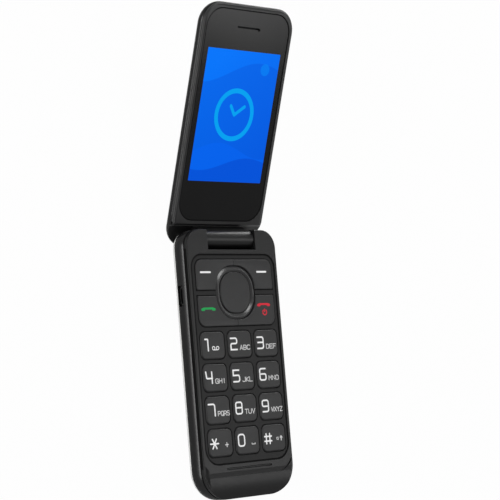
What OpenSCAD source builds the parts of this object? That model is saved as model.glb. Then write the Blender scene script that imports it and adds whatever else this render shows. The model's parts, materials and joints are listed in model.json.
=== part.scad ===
// Clamshell flip phone, lying open on its back. All lengths in millimetres.
//
// Each sub-part is drawn in the hinge frame: the origin is on the hinge axis, X runs along the
// hinge, Y points away from the keypad and Z out of the keypad. The lid is drawn as if it were
// opened flat, so its display also faces +Z, and in_lid() tilts it to the opening angle.
// in_base() and in_lid() then lay both halves on the table, where the open phone rests on the
// chin end of its back and on the heel of the lid.

/* [Number keys] */
// Width of a number key
key_w = 13.7; // [12:0.1:16]
// Height of a number key
key_h = 11.45; // [10:0.05:13]
// Space between the columns
key_space_x = 2.1; // [1.8:0.1:3]
// Space between the rows
key_space_y = 2.2; // [1.8:0.1:3]
// Corner radius of a number key
key_r = 2.4; // [1.5:0.1:3]
// Height of the key tops above the front face
key_proud = 0.2; // [0.1:0.05:0.25]
// Gap round each key
key_gap = 0.2; // [0.15:0.05:0.3]
// Flange that holds a key under its plate
key_flange = 0.5; // [0.4:0.1:0.6]
// Thickness of that flange
flange_t = 0.7; // [0.6:0.05:0.9]
// Travel of a pressed key
key_travel = 0.25; // [0.2:0.01:0.28]

/* [Navigation cluster] */
// Height of the cluster
nav_h = 28.4; // [26:0.1:32]
// Inset of the cluster from the outer edges of the number keys
nav_inset = 0.3; // [0.1:0.1:1]
// Corner radius of the cluster
nav_r = 3.5; // [2.5:0.1:4]
// Space between the cluster and the number keys
nav_space = 2.3; // [2:0.1:3]
// Size of the rocker ring
ring_w = 22.8; // [21.5:0.1:25]
// Corner radius of the rocker ring
ring_r = 10; // [9:0.1:10.7]
// Width of the band of the ring
ring_band = 2.4; // [2.2:0.1:2.6]
// Height of the ring and centre key above the front face
ring_proud = 0.05; // [0:0.05:0.1]
// Height of the divider between the upper and lower keys
divider_h = 2.6; // [2:0.1:3]

/* [Keypad plate] */
// Margin beside the number keys
plate_margin_x = 2.15; // [1.6:0.05:3]
// Margin below the number keys
plate_margin_low = 3.65; // [3:0.05:6]
// Margin above the navigation cluster
plate_margin_top = 2.5; // [2:0.1:4]
// Plan radius of the plate's upper corners
plate_r = 6; // [5:0.5:7]
// Plan radius of the plate's lower corners
plate_low_r = 7.5; // [6:0.5:9]
// Thickness of the plate
plate_t = 1.1; // [1:0.1:1.4]
// Depth of the plate below the front face
plate_sink = 0.2; // [0.1:0.05:0.3]
// Ledge under the plate's edge
ledge = 1.1; // [0.9:0.1:1.3]

/* [Base] */
// Width of the front face beside the keypad plate
bezel_w = 1.5; // [1.4:0.1:2]
// Bridge between the hinge notch and the keypad plate
bridge_w = 1.8; // [1.6:0.1:3]
// Band between the keypad plate and the closed lid's end
plate_band = 4.75; // [4.4:0.05:5.5]
// Hinge axis to the hinge end of the base
base_end = 4; // [3.6:0.1:4.4]
// Radius of the long back edges
base_edge_r = 5.5; // [4.8:0.1:6]
// Plan radius of the chin corners
chin_corner_r = 13; // [10:0.5:16]
// Plan radius of the hinge-end corners
base_corner_r = 8; // [7:0.5:9]
// Hinge axis to the end of the flat back
flat_end = 3.4; // [3:0.1:4]
// Radius of the nose between the flat back and the hinge end
nose_r = 8; // [7.6:0.1:9]
// Depth of the hinge axis below the front face
axis_depth = 4.7; // [4.6:0.1:5.2]
// Height of the parting line between side band and back cover, above the back
cover_h = 4; // [3.6:0.1:4.4]
// Wall of the moulded shells
wall = 1.2; // [1:0.1:1.4]
// Inset of the front cover from the side band
step_in = 0.2; // [0.1:0.05:0.4]
// Height of the front cover's side wall
front_cover_h = 2; // [1.8:0.1:2.2]
// Seam between parts that lie on each other
seam = 0.05; // [0.02:0.01:0.1]

/* [Chin] */
// Length of the chin beyond the closed lid
chin_l = 9.8; // [8:0.1:11]
// Rise of the chin above the front face
chin_rise = 0.6; // [0.4:0.1:0.9]
// Height of the chin's end above the parting line
chin_end_h = 0.5; // [0.4:0.1:1]
// Slope of the chin where it starts, in degrees
chin_start_a = 5; // [3:0.5:7]
// Radius of the chin's side edges
chin_edge_r = 2.2; // [1.2:0.1:2.5]
// Length of the microphone slot
mic_slot_l = 26.8; // [20:0.2:30]
// Width of the microphone slot
mic_slot_w = 0.9; // [0.6:0.1:1.2]

/* [Lid] */
// Gap between the halves of the closed phone
shell_gap = 0.3; // [0.2:0.05:0.5]
// Opening angle from closed
open_angle = 160.3; // [150:0.1:165]
// Radius of the lid's back edges
lid_edge_r = 5; // [4.5:0.1:5.5]
// Plan radius of the lid's top corners
lid_top_r = 10; // [8:0.5:12]
// Plan radius of the lid's hinge-end corners
lid_heel_r = 8.5; // [8:0.5:12]
// Reach of the lid's hood past the hinge axis
hood_reach = 4.5; // [4:0.1:4.8]
// Clearance of the hood's hollow over the back of the base
hood_gap = 0.5; // [0.45:0.05:0.8]
// Width of the rim between the hood and the window
lip_w = 1.3; // [1:0.1:2]
// Depth of the front frame's side wall
lid_frame_h = 1; // [0.8:0.1:1.2]
// Inset of the front frame from the side band
lid_step_in = 0.5; // [0.3:0.1:0.7]
// Thickness of the outer cover at the back of the lid
lid_cover_h = 1.3; // [1.1:0.05:1.5]
// Floor of the lid's housing under the boards
lid_floor_t = 0.75; // [0.6:0.05:1]
// Clearance round the closed lid's end
lid_fit = 0.3; // [0.25:0.05:0.5]

/* [Display] */
// Width of the visible picture
screen_w = 42.7; // [36:0.1:46]
// Height of the visible picture
screen_h = 56.9; // [48:0.1:60]
// Hinge axis to the lower edge of the picture
screen_low = 24.35; // [22:0.05:28]
// Head of the lid above the picture
head_l = 19.45; // [18:0.05:24]
// Border of the display module beside the picture
lcd_border = 2.4; // [2:0.1:3]
// Border of the display module above and below the picture
lcd_border_y = 4.6; // [3:0.1:4.8]
// Thickness of the display module
lcd_t = 2.1; // [1.6:0.1:2.6]
// Width of the rim round the window
rim_w = 1.5; // [1.4:0.1:2]
// Plan radius of the window's corners
window_r = 8.5; // [6:0.5:9]
// Thickness of the window
window_t = 1; // [0.8:0.1:1.1]
// Depth of the window below the rim
window_sink = 0.2; // [0.15:0.05:0.3]
// Earpiece slot to the lid's end
ear_drop = 9.7; // [9:0.1:11]
// Length of the earpiece slot
ear_l = 13; // [11:0.5:15]
// Width of the earpiece slot
ear_w = 0.8; // [0.6:0.1:1]

/* [Hinge] */
// Radius of the knuckle
knuckle_r = 4.2; // [4:0.1:4.3]
// Length of the knuckle
knuckle_l = 27.6; // [26:0.2:30]
// Side gap between the knuckle and each shoulder
knuckle_side_gap = 0.3; // [0.2:0.05:0.4]
// Gap between the knuckle and the floor of its notch
notch_gap = 0.7; // [0.6:0.1:1]
// Radius of the cam pin
pin_r = 1.6; // [1.4:0.1:1.8]
// Radius of the hollow bush for the flex
bush_r = 2; // [1.8:0.1:2.2]
// Radius of the cam cartridge
cartridge_r = 3; // [2.8:0.1:3.2]
// Length of the cam cartridge
cartridge_l = 15.5; // [14:0.5:17]
// Radial clearance of the running fits
running_gap = 0.05; // [0.02:0.01:0.08]

/* [Boards and battery] */
// Thickness of the main board
board_t = 0.8; // [0.6:0.1:1]
// Thickness of the mid floor between board and battery
floor_t = 0.8; // [0.7:0.1:1]
// Thickness of the key mat
mat_t = 0.7; // [0.6:0.1:0.9]
// Length of the battery
battery_l = 55.3; // [50:0.1:60]
// Width of the battery
battery_w = 40; // [36:0.5:41]
// Thickness of the battery
battery_t = 4.95; // [4.4:0.05:5.2]
// Battery end to the chin end of the base
battery_far = 15.2; // [15:0.1:20]
// Hinge axis to the middle of the charging port
port_y = 24; // [22:0.5:27]
// Width of the charging port
port_w = 7.5; // [7.2:0.1:8]
// Height of the charging port
port_h = 2.5; // [2.3:0.1:2.6]
// Depth of the charging port
port_d = 5.5; // [5:0.1:6]
// Side of the SIM socket
sim_w = 15; // [14:0.5:16]
// Diameter of the shaft of a screw
screw_d = 1.4; // [1.2:0.1:1.6]
// Diameter of the head of a screw
screw_head_d = 2.6; // [2.4:0.1:2.8]
// Height of the head of a screw
screw_head_h = 0.8; // [0.6:0.1:0.9]

/* [Hidden] */
$fn = 64;

KEY_NAMES = [
    "key_1", "key_2", "key_3", "key_4", "key_5", "key_6", "key_7", "key_8", "key_9",
    "key_star", "key_0", "key_hash"
];
BLACK = [0.16, 0.16, 0.17];
KEY_GREY = [0.25, 0.25, 0.26];
WHITE = [0.93, 0.93, 0.92];
BOARD_GREEN = [0.1, 0.3, 0.2];
STEEL = [0.72, 0.72, 0.74];
GOLD = [0.85, 0.68, 0.3];

// Levels of the base, measured from the hinge axis: the stack hangs under the front face
dome_h = 0.25;
mat_pad_h = 0.45;
press_gap = 0.3;
front_z = axis_depth;
plate_z = front_z - plate_sink;
plate_low = plate_z - plate_t;
key_top = front_z + key_proud;
ring_top = front_z + ring_proud;
flange_top = plate_low - seam;
flange_low = flange_top - flange_t;
pad_top = flange_low - press_gap;
mat_top = pad_top - mat_pad_h;
mat_low = mat_top - mat_t;
dome_top = mat_low - seam;
board_top = dome_top - dome_h;
floor_z = board_top - board_t;
floor_low = floor_z - floor_t;
battery_top = floor_low - seam;
battery_low = battery_top - battery_t;
back_z = battery_low - 0.2 - wall;
base_t = front_z - back_z;
cover_z = back_z + cover_h;
band_top = front_z - front_cover_h - seam;

// Plan of the keypad, from the hinge notch downwards
key_dx = key_w + key_space_x;
key_dy = key_h + key_space_y;
nav_half_w = key_dx + key_w / 2 - nav_inset;
notch_half = knuckle_l / 2 + knuckle_side_gap;
notch_y = -(knuckle_r + notch_gap);
plate_high_y = notch_y - bridge_w;
nav_high_y = plate_high_y - plate_margin_top;
nav_low_y = nav_high_y - nav_h;
nav_y = (nav_high_y + nav_low_y) / 2;
key_high_y = nav_low_y - nav_space;
key_low_y = key_high_y - 3 * key_dy - key_h;

// Plan of both halves: the wider and longer of the keypad and the display sets the size
plate_half = key_dx + key_w / 2 + plate_margin_x;
lcd_half_w = screen_w / 2 + lcd_border;
lcd_side_gap = 0.95;
lid_wall = wall + 0.6;
body_w = 2 * max(plate_half + bezel_w + step_in, lcd_half_w + lcd_side_gap + lid_wall);
lid_top = max(plate_margin_low + plate_band - key_low_y, screen_low + screen_h + head_l);
plate_low_y = plate_band - lid_top;
base_reach = lid_top + chin_l;
chin_end = -base_reach;
screen_y = screen_low + screen_h / 2;
ear_y = lid_top - ear_drop;
inner_half = body_w / 2 - wall;
slab_w = 2 * body_w;
slab_l = 3 * base_reach;

// Levels of the lid, in the lid's own frame
ledge_t = 0.5;
lid_board_t = 0.6;
rim_z = -(axis_depth + shell_gap);
lid_band_z = rim_z - lid_frame_h;
window_z = rim_z - window_sink;
ledge_z = window_z - window_t - seam;
lcd_z = ledge_z - ledge_t - seam;
lid_board_z = lcd_z - lcd_t - seam;
lid_floor_z = lid_board_z - lid_board_t - seam;
lid_cover_z = lid_floor_z - lid_floor_t - seam;
lid_back = lid_cover_z - lid_cover_h;
lid_t = rim_z - lid_back;
hood_r = hood_gap - back_z;
lip_y = sqrt(hood_r * hood_r - rim_z * rim_z);
lid_inner_half = body_w / 2 - lid_wall;
frame_low_y = lip_y + 1;
window_low = lip_y + lip_w;
window_half = body_w / 2 - lid_step_in - rim_w;
window_top = lid_top - lid_step_in - rim_w - 0.2;
lcd_low_y = screen_low - lcd_border_y;
lcd_high_y = screen_low + screen_h + lcd_border_y;
lid_solid_y = lcd_low_y - 4.7;

// Resting pose of the open phone: the line under the heel of the lid and the chin end of the
// base becomes the table, and the middle of the whole length becomes the origin
lid_tilt = 180 - open_angle;
heel_y = lid_edge_r - hood_reach;
heel_z = lid_back + lid_edge_r;
heel_base_y = heel_y * cos(lid_tilt) - heel_z * sin(lid_tilt);
heel_base_z = heel_y * sin(lid_tilt) + heel_z * cos(lid_tilt);
chin_arc_y = chin_end + base_edge_r;
chin_arc_z = back_z + base_edge_r;
rest_run = heel_base_y - chin_arc_y;
rest_rise = heel_base_z - chin_arc_z;
rest_span = sqrt(rest_run * rest_run + rest_rise * rest_rise);
rest_tilt = asin((lid_edge_r - base_edge_r) / rest_span) - atan2(rest_rise, rest_run);
axis_height = lid_edge_r - heel_base_y * sin(rest_tilt) - heel_base_z * cos(rest_tilt);
lid_total_tilt = lid_tilt + rest_tilt;
far_y = (lid_top - lid_edge_r) * cos(lid_total_tilt) - heel_z * sin(lid_total_tilt) + lid_edge_r;
near_y = chin_end * cos(rest_tilt) - band_top * sin(rest_tilt);
axis_y = -(far_y + near_y) / 2;

module in_base() {
    translate([0, axis_y, axis_height]) rotate([rest_tilt, 0, 0]) children();
}

module in_lid() {
    in_base() rotate([lid_tilt, 0, 0]) children();
}

// ---- Shared shapes ----

// Everything between two levels
module slab(low, high) {
    translate([-slab_w / 2, -slab_l / 2, low]) cube([slab_w, slab_l, high - low]);
}

// Outline from y0 to y1, with corner radii r0 at y0 and r1 at y1
module outline(w, y0, y1, r0, r1) {
    translate([-w / 2, y0 + r0]) square([w, y1 - r1 - y0 - r0]);
    translate([r0 - w / 2, y0]) square([w - 2 * r0, r0]);
    translate([r1 - w / 2, y1 - r1]) square([w - 2 * r1, r1]);
    for (s = [-1, 1]) {
        translate([s * (w / 2 - r0), y0 + r0]) circle(r0);
        translate([s * (w / 2 - r1), y1 - r1]) circle(r1);
    }
}

module prism(w, y0, y1, r0, r1, low, high) {
    translate([0, 0, low]) linear_extrude(high - low) outline(w, y0, y1, r0, r1);
}

// Rounded rectangle about its own middle
module pad(w, h, r) {
    square([w, h - 2 * r], center = true);
    square([w - 2 * r, h], center = true);
    for (sx = [-1, 1], sy = [-1, 1]) translate([sx * (w / 2 - r), sy * (h / 2 - r)]) circle(r);
}

// Section through a shell's edge: wall at x = r, back at y = 0, joined by an arc of radius edge
module edge_section(r, edge, h) {
    square([r - edge, h]);
    translate([0, edge]) square([r, h - edge]);
    intersection() {
        translate([r - edge, edge]) circle(edge);
        square([r, h]);
    }
}

// Pebble: an outline whose back edge, at the lowest level, is rounded all round
module pebble(w, y0, y1, r0, r1, edge, h) {
    side_r = max(r0, r1);
    side_l = y1 - r1 - y0 - r0;
    for (s = [-1, 1]) {
        translate([s * (w / 2 - r1), y1 - r1, 0]) rotate([0, 0, s > 0 ? 0 : 90])
            rotate_extrude(angle = 90) edge_section(r1, edge, h);
        translate([s * (w / 2 - r0), y0 + r0, 0]) rotate([0, 0, s > 0 ? -90 : 180])
            rotate_extrude(angle = 90) edge_section(r0, edge, h);
    }
    translate([r1 - w / 2, y1 - r1, 0]) rotate([90, 0, 90])
        linear_extrude(w - 2 * r1) edge_section(r1, edge, h);
    translate([w / 2 - r0, y0 + r0, 0]) rotate([90, 0, -90])
        linear_extrude(w - 2 * r0) edge_section(r0, edge, h);
    for (s = [0, 1]) mirror([s, 0, 0])
        translate([w / 2 - side_r, y1 - r1, 0]) rotate([90, 0, 0])
            linear_extrude(side_l) edge_section(side_r, edge, h);
    translate([side_r - w / 2, y0 + r0, 0]) cube([w - 2 * side_r, side_l, h]);
}

// Outer form of the base, drawn inwards by inset, cut between two levels
module base_form(inset, low, high) {
    difference() {
        intersection() {
            translate([0, 0, back_z + inset])
                pebble(body_w - 2 * inset, chin_end + inset, base_end - inset,
                    chin_corner_r - inset, base_corner_r - inset, base_edge_r - inset, base_t);
            slab(low, high);
        }
        // nose between the flat back and the hinge end
        difference() {
            block(-body_w, body_w, -flat_end, base_end + 1, back_z - 1, back_z + nose_r);
            translate([0, -flat_end, back_z + nose_r]) axle(nose_r - inset, -2 * body_w, 2 * body_w);
        }
    }
}

// Straight-walled plan of the base, drawn inwards by inset
module base_plan(inset, low, high) {
    prism(body_w - 2 * inset, chin_end + inset, base_end - inset,
        chin_corner_r - inset, base_corner_r - inset, low, high);
}

// Plan of the lid, drawn inwards by inset
module lid_plan(inset, low, high) {
    prism(body_w - 2 * inset, inset - hood_reach, lid_top - inset,
        lid_heel_r - inset, lid_top_r - inset, low, high);
}

module lid_form(low, high) {
    intersection() {
        translate([0, 0, lid_back])
            pebble(body_w, -hood_reach, lid_top, lid_heel_r, lid_top_r, lid_edge_r, lid_t);
        slab(low, high);
    }
}

// The notch between the shoulders, with room for the knuckle; grow widens it
module notch(grow, low, high) {
    translate([-notch_half - grow, notch_y - grow, low])
        cube([2 * (notch_half + grow), base_end - notch_y + 2 * grow + 1, high - low]);
}

// Round bar along the hinge axis from x0 to x1
module axle(r, x0, x1) {
    translate([x0, 0, 0]) rotate([0, 90, 0]) cylinder(r = r, h = x1 - x0);
}

// Cylinder on Z at x, y
module post(x, y, r, low, high) {
    translate([x, y, low]) cylinder(r = r, h = high - low);
}

module block(x0, x1, y0, y1, low, high) {
    translate([x0, y0, low]) cube([x1 - x0, y1 - y0, high - low]);
}

// ---- Base shells ----

boss_r = 2.2;
cover_post_r = 1.8;
screw_r = screw_d / 2;
screw_head_r = screw_head_d / 2;
screw_fit = 0.1;
thread_fit = 0.02;
screw_seat = cover_z + screw_head_h + 0.5;
screw_top = front_z - wall - 0.6;
hinge_screw_x = inner_half - boss_r - 0.3;
hinge_screw_y = -3.5;
chin_screw_x = body_w / 2 - chin_corner_r + 3.5;
chin_screw_y = chin_end + 6;
BASE_SCREWS = [
    [-hinge_screw_x, hinge_screw_y], [hinge_screw_x, hinge_screw_y],
    [-chin_screw_x, chin_screw_y], [chin_screw_x, chin_screw_y]
];
CHIN_SCREWS = [[-chin_screw_x, chin_screw_y], [chin_screw_x, chin_screw_y]];

mic_y = plate_low_y - 1.85;
mic_r = 1.4;

// Chin: an arc that starts with a gentle slope behind the closed lid and falls to the parting line
chin_y = -(lid_top + lid_fit);
chin_top = front_z + chin_rise;
chin_run = chin_y - chin_end;
chin_fall = chin_top - (front_z - front_cover_h + chin_end_h);
chin_r = (chin_run * chin_run + chin_fall * chin_fall)
    / (2 * (chin_fall * cos(chin_start_a) - chin_run * sin(chin_start_a)));
chin_steps = 160;

module chin_roll() {
    translate([0, chin_y + chin_r * sin(chin_start_a), chin_top - chin_r * cos(chin_start_a)])
        axle(chin_r, -2 * body_w, 2 * body_w, $fn = chin_steps);
}

module mic_slot(low, high) {
    translate([0, mic_y, low]) linear_extrude(high - low)
        pad(mic_slot_l, mic_slot_w, mic_slot_w / 2 - 0.01);
}

// Front cover: keypad surround, hinge shoulders and the raised, sloping chin
module base_front_cover() {
    low = front_z - front_cover_h;
    inset = step_in;
    color(BLACK) difference() {
        union() {
            difference() {
                union() {
                    // keypad surround with its softened front edge
                    mirror([0, 0, 1]) translate([0, 0, -front_z])
                        pebble(body_w - 2 * inset, chin_end + inset, base_end - inset,
                            chin_corner_r - inset, base_corner_r - inset, 0.4, front_cover_h);
                    // chin: raised behind the closed lid, with rounded side edges
                    difference() {
                        mirror([0, 0, 1]) translate([0, 0, -chin_top])
                            pebble(body_w - 2 * inset, chin_end + inset, base_end - inset,
                                chin_corner_r - inset, base_corner_r - inset, chin_edge_r,
                                chin_top - low);
                        lid_plan_closed(lid_fit, front_z, chin_top + 1);
                        block(-body_w, body_w, chin_y + lid_top_r + 2, base_end + 1, low - 1,
                            chin_top + 1);
                    }
                }
                // slope of the chin's front
                difference() {
                    block(-body_w, body_w, chin_end - 1, chin_y, low - 1, chin_top + 1);
                    chin_roll();
                }
                // hollow underside
                difference() {
                    base_plan(inset + wall, low - 1, front_z - wall);
                    plate_seat_wall(low - 2, front_z);
                    chin_pad(low - 2, front_z);
                }
            }
            // posts for the screws
            for (p = BASE_SCREWS) post(p[0], p[1], cover_post_r, hinge_post_low, front_z - wall + 0.1);
            for (p = CHIN_SCREWS) post(p[0], p[1], cover_post_r, floor_z + seam, front_z - wall + 0.1);
        }
        for (p = BASE_SCREWS) post(p[0], p[1], screw_r + thread_fit, back_z, screw_top + 0.2);
        // window for the keys and the seat of the keypad plate
        prism(2 * (plate_half + seam), plate_low_y - seam, plate_high_y + seam,
            plate_low_r, plate_r, plate_low - seam, front_z + 1);
        prism(2 * (plate_half - ledge), plate_low_y + ledge, plate_high_y - ledge,
            plate_low_r - ledge, plate_r - ledge, low - 1, front_z);
        mic_slot(low - 1, front_z + 1);
        post(0, mic_y, mic_r + 0.2, low - 1, front_z - wall);
        notch(0, low - 1, front_z + 1);
    }
}

hinge_post_low = front_z - front_cover_h - 1.1;

// The closed lid's end, mirrored over to the base and grown by its fit
module lid_plan_closed(grow, low, high) {
    mirror([0, 1, 0]) lid_plan(-grow, low, high);
}

// Wall under the keypad plate's ledge
module plate_seat_wall(low, high) {
    prism(body_w, plate_low_y - wall, plate_high_y + seam, plate_low_r, plate_r, low, high);
}

// Solid under the thin end of the chin's slope
module chin_pad(low, high) {
    block(-body_w, body_w, chin_end, chin_end + 5, low, high);
}

// Side band, mid floor, battery bay and hinge seats
module base_frame() {
    bay_half = battery_w / 2 + 0.2;
    bay_near = battery_high_y + 0.2;
    bay_far = battery_low_y - 0.2;
    shoulder_y = notch_y - wall;
    shoulder_top = front_z - wall - seam;
    color(BLACK) difference() {
        union() {
            difference() {
                base_form(0, cover_z + seam, band_top);
                // room for the board above the floor and for the battery bay below it
                base_plan(wall + 0.4, floor_z, band_top + 1);
                base_plan(wall + 0.4, cover_z - 1, floor_low);
            }
            // shoulders that hold the hinge pins
            intersection() {
                base_form(wall + step_in + seam, cover_z + seam, shoulder_top);
                block(-body_w, body_w, shoulder_y, base_end, cover_z, shoulder_top);
            }
            // rib round the battery bay
            difference() {
                block(-bay_half - 0.8, bay_half + 0.8, bay_far - 0.8, bay_near + 0.8,
                    battery_low - 0.1, floor_low);
                block(-bay_half, bay_half, bay_far, bay_near, battery_low - 1, floor_low);
            }
            // screw bosses
            for (p = CHIN_SCREWS) post(p[0], p[1], boss_r, cover_z + seam + 0.4, floor_low);
        }
        notch(0, back_z, front_z);
        // seats of the cam pin and of the flex bush
        axle(pin_r + 0.02, -pin_end - 0.1, 0);
        axle(bush_r + 0.02, 0, pin_end + 0.1);
        // way for the flex from the bush down to the board
        block(pin_end - 2, pin_end + 0.1, shoulder_y - 1, 1, floor_z, 1.4);
        // charging port
        port_cut(port_room);
        for (p = BASE_SCREWS) {
            post(p[0], p[1], screw_r + screw_fit, cover_z, front_z);
            post(p[0], p[1], screw_head_r + screw_fit, cover_z - 1, screw_seat);
            post(p[0], p[1], cover_post_r + screw_fit, hinge_post_low - seam, front_z);
        }
        // seat of the contact block, open to the battery bay
        block(-contact_half, contact_half, bay_near - 0.1, bay_near + 1.1 + contact_d,
            floor_low - 3.4, floor_low + 0.1);
        block(-contact_half, contact_half, bay_near + 0.9, bay_near + 1.1 + contact_d,
            floor_low - 1, floor_z + 1);
    }
}

pin_end = body_w / 2 - 5.5;
battery_low_y = chin_end + battery_far;
battery_high_y = battery_low_y + battery_l;
contact_half = 6;
contact_d = 3;
contact_dx = 3.5;

port_x = -body_w / 2 + 0.9;
port_room = 0.6;

module port_cut(grow) {
    z = floor_z - port_h - 0.1;
    block(-body_w / 2 - 1, port_x + port_d + 0.2, -port_y - port_w / 2 - grow,
        -port_y + port_w / 2 + grow, z - 0.2, floor_z);
}

clip_x = battery_w / 2 + 1.9;

// White back shell with the loudspeaker slots
module battery_cover() {
    color(WHITE) difference() {
        union() {
            difference() {
                base_form(0, back_z, cover_z);
                base_form(wall, back_z + wall, cover_z + 1);
            }
            intersection() {
                base_form(0.1, back_z, cover_z);
                difference() {
                    notch(wall, back_z, cover_z);
                    block(-body_w, body_w, notch_y + 2, base_end + 2, back_z + wall, cover_z + 1);
                }
            }
            // clips that hook behind the frame's bay rib
            for (s = [-1, 1], y = [battery_high_y - 6, battery_low_y + 6])
                block(s * clip_x - 0.6, s * clip_x + 0.6, y - 3, y + 3, back_z + wall / 2,
                    cover_z + 1.2);
        }
        notch(0, back_z - 1, cover_z + 1);
        for (i = [-2:2]) translate([speaker_x + 2.4 * i, speaker_y, back_z - 1])
            linear_extrude(wall + 2) pad(1, speaker_h - 5, 0.49);
    }
}

// ---- Base internals ----

// Everything in the bay between the hinge and the battery is placed from the battery's end
can_t = 0.2;
can_h = 1.6;
can_w = 14.5;
can_x = -can_w / 2 - 4.5;
can_l = 5.2;
can_low_y = battery_high_y + contact_d + 1.5;
sim_x = -sim_w / 2 - 3;
sim_low_y = can_low_y + can_l + 0.8;
radio_can_w = 12.5;
radio_can_l = 5.5;
radio_can_x = radio_can_w / 2 + contact_half + 0.5;
radio_can_y = battery_high_y + 2.5;
speaker_w = 16;
speaker_h = 12;
speaker_x = speaker_w / 2 + 3;
speaker_y = radio_can_y + radio_can_l + speaker_h / 2 + 2;

module battery() {
    color([0.55, 0.56, 0.58]) difference() {
        block(-battery_w / 2, battery_w / 2, battery_low_y, battery_high_y, battery_low, battery_top);
        for (i = [-1, 0, 1])
            block(contact_dx * i - 1, contact_dx * i + 1, battery_high_y - 0.6, battery_high_y + 1,
                floor_low - 3, floor_low - 1);
    }
}

module battery_contacts() {
    y0 = battery_high_y + 1.15;
    z0 = floor_low - 3.2;
    color(GOLD) {
        block(-contact_half + 0.1, contact_half - 0.1, y0, y0 + contact_d - 0.1, z0, floor_z - seam);
        for (i = [-1, 0, 1])
            block(contact_dx * i - 0.8, contact_dx * i + 0.8, battery_high_y + 0.05, y0,
                z0 + 0.6, z0 + 1.1);
    }
}

module main_board() {
    inset = wall + 0.8;
    color(BOARD_GREEN) difference() {
        base_plan(inset, floor_z + seam / 2, board_top);
        block(-body_w, body_w, notch_y - wall - 0.2, base_end + 1, floor_z - 1, board_top + 1);
        for (p = CHIN_SCREWS)
            post(p[0], p[1], cover_post_r + screw_fit, floor_z - 1, board_top + 1);
    }
}

// Pressed can, open towards the board, its near corner at x, y
module can(x, y, w, l) {
    z = floor_low - seam;
    difference() {
        block(x - w / 2, x + w / 2, y, y + l, z - can_h, z);
        block(x - w / 2 + can_t, x + w / 2 - can_t, y + can_t, y + l - can_t, z - can_h + can_t, z + 1);
    }
}

module shield_cans() {
    color(STEEL) {
        can(can_x, can_low_y, can_w, can_l);
        can(radio_can_x, radio_can_y, radio_can_w, radio_can_l);
    }
}

// Places of all keys that have a dome
KEY_CENTRES = [
    for (i = [0:11]) [key_dx * (i % 3 - 1), key_high_y - key_h / 2 - key_dy * floor(i / 3)]
];
upper_y = (nav_high_y + nav_y + divider_h / 2) / 2;
lower_y = (nav_low_y + nav_y - divider_h / 2) / 2;
nav_dome_r = ring_w / 2 - ring_band;
SIDE_KEY_X = (nav_half_w + ring_w / 2) / 2;
DOME_CENTRES = concat(KEY_CENTRES, [
    [-SIDE_KEY_X, upper_y], [SIDE_KEY_X, upper_y], [-SIDE_KEY_X, lower_y], [SIDE_KEY_X, lower_y],
    [0, nav_y], [-nav_dome_r, nav_y], [nav_dome_r, nav_y], [0, nav_y - nav_dome_r],
    [0, nav_y + nav_dome_r]
]);

// Outline of the mat and the dome sheet, just wide enough for the outer domes
mat_reach = 4.6;

module mat_prism(low, high) {
    prism(2 * (key_dx + mat_reach), key_low_y + key_h / 2 - mat_reach, upper_y + mat_reach, 4, 4,
        low, high);
}

module dome_sheet() {
    film_t = 0.1;
    color(STEEL) {
        mat_prism(board_top, board_top + film_t);
        for (p = DOME_CENTRES) translate([p[0], p[1], board_top + film_t])
            cylinder(r1 = 2.2, r2 = 1.4, h = dome_top - board_top - film_t, $fn = 32);
    }
}

module key_mat() {
    pad_r = 3;
    color([0.3, 0.3, 0.32]) {
        mat_prism(mat_low, mat_top);
        for (p = KEY_CENTRES) post(p[0], p[1], pad_r, mat_low, pad_top);
        for (x = [-SIDE_KEY_X, SIDE_KEY_X], y = [upper_y, lower_y])
            post(x, y, 2.4, mat_low, pad_top);
        post(0, nav_y, pad_r, mat_low, ok_low - press_gap);
        // nubs that the rocking plate stands on
        for (s = [-1, 1]) post(0, nav_y + s * pivot_mid, 0.5, mat_low, pivot_low - seam);
    }
}

module microphone() {
    color(STEEL) {
        post(0, mic_y, mic_r + 0.6, board_top, board_top + 1.2);
        post(0, mic_y, mic_r, board_top, front_z - wall - 0.2);
    }
}

module loudspeaker() {
    z0 = back_z + wall + 0.15;
    color([0.2, 0.2, 0.2]) {
        translate([speaker_x, speaker_y, z0 + 0.5]) linear_extrude(floor_low - seam - z0 - 0.5)
            pad(speaker_w, speaker_h, 2);
        translate([speaker_x, speaker_y, z0]) linear_extrude(0.6)
            difference() {
                pad(speaker_w, speaker_h, 2);
                pad(speaker_w - 2, speaker_h - 2, 1.5);
            }
    }
}

motor_r = 4.2;

module vibration_motor() {
    color(STEEL) post(0, chin_end + motor_r + 3, motor_r, floor_low - seam - 2.7, floor_low - seam);
}

// Micro-USB receptacle: folded shell open at the side, with its tongue
module usb_port() {
    x0 = port_x;
    z0 = floor_z - port_h;
    shell = 0.3;
    color(STEEL) {
        difference() {
            translate([x0, -port_y, z0]) rotate([90, 0, 90])
                linear_extrude(port_d) polygon([
                    [-port_w / 2, port_h], [-port_w / 2, 0.9], [-port_w / 2 + 0.9, 0],
                    [port_w / 2 - 0.9, 0], [port_w / 2, 0.9], [port_w / 2, port_h]
                ]);
            translate([x0 - 1, -port_y, z0]) rotate([90, 0, 90])
                linear_extrude(port_d) polygon([
                    [-port_w / 2 + shell, port_h - shell], [-port_w / 2 + shell, 1],
                    [-port_w / 2 + 1, shell], [port_w / 2 - 1, shell],
                    [port_w / 2 - shell, 1], [port_w / 2 - shell, port_h - shell]
                ]);
        }
        block(x0 + 0.8, x0 + port_d - 0.5, -port_y - 2.1, -port_y + 2.1,
            z0 + port_h - shell - 0.75, z0 + port_h - shell - 0.15);
    }
}

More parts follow.
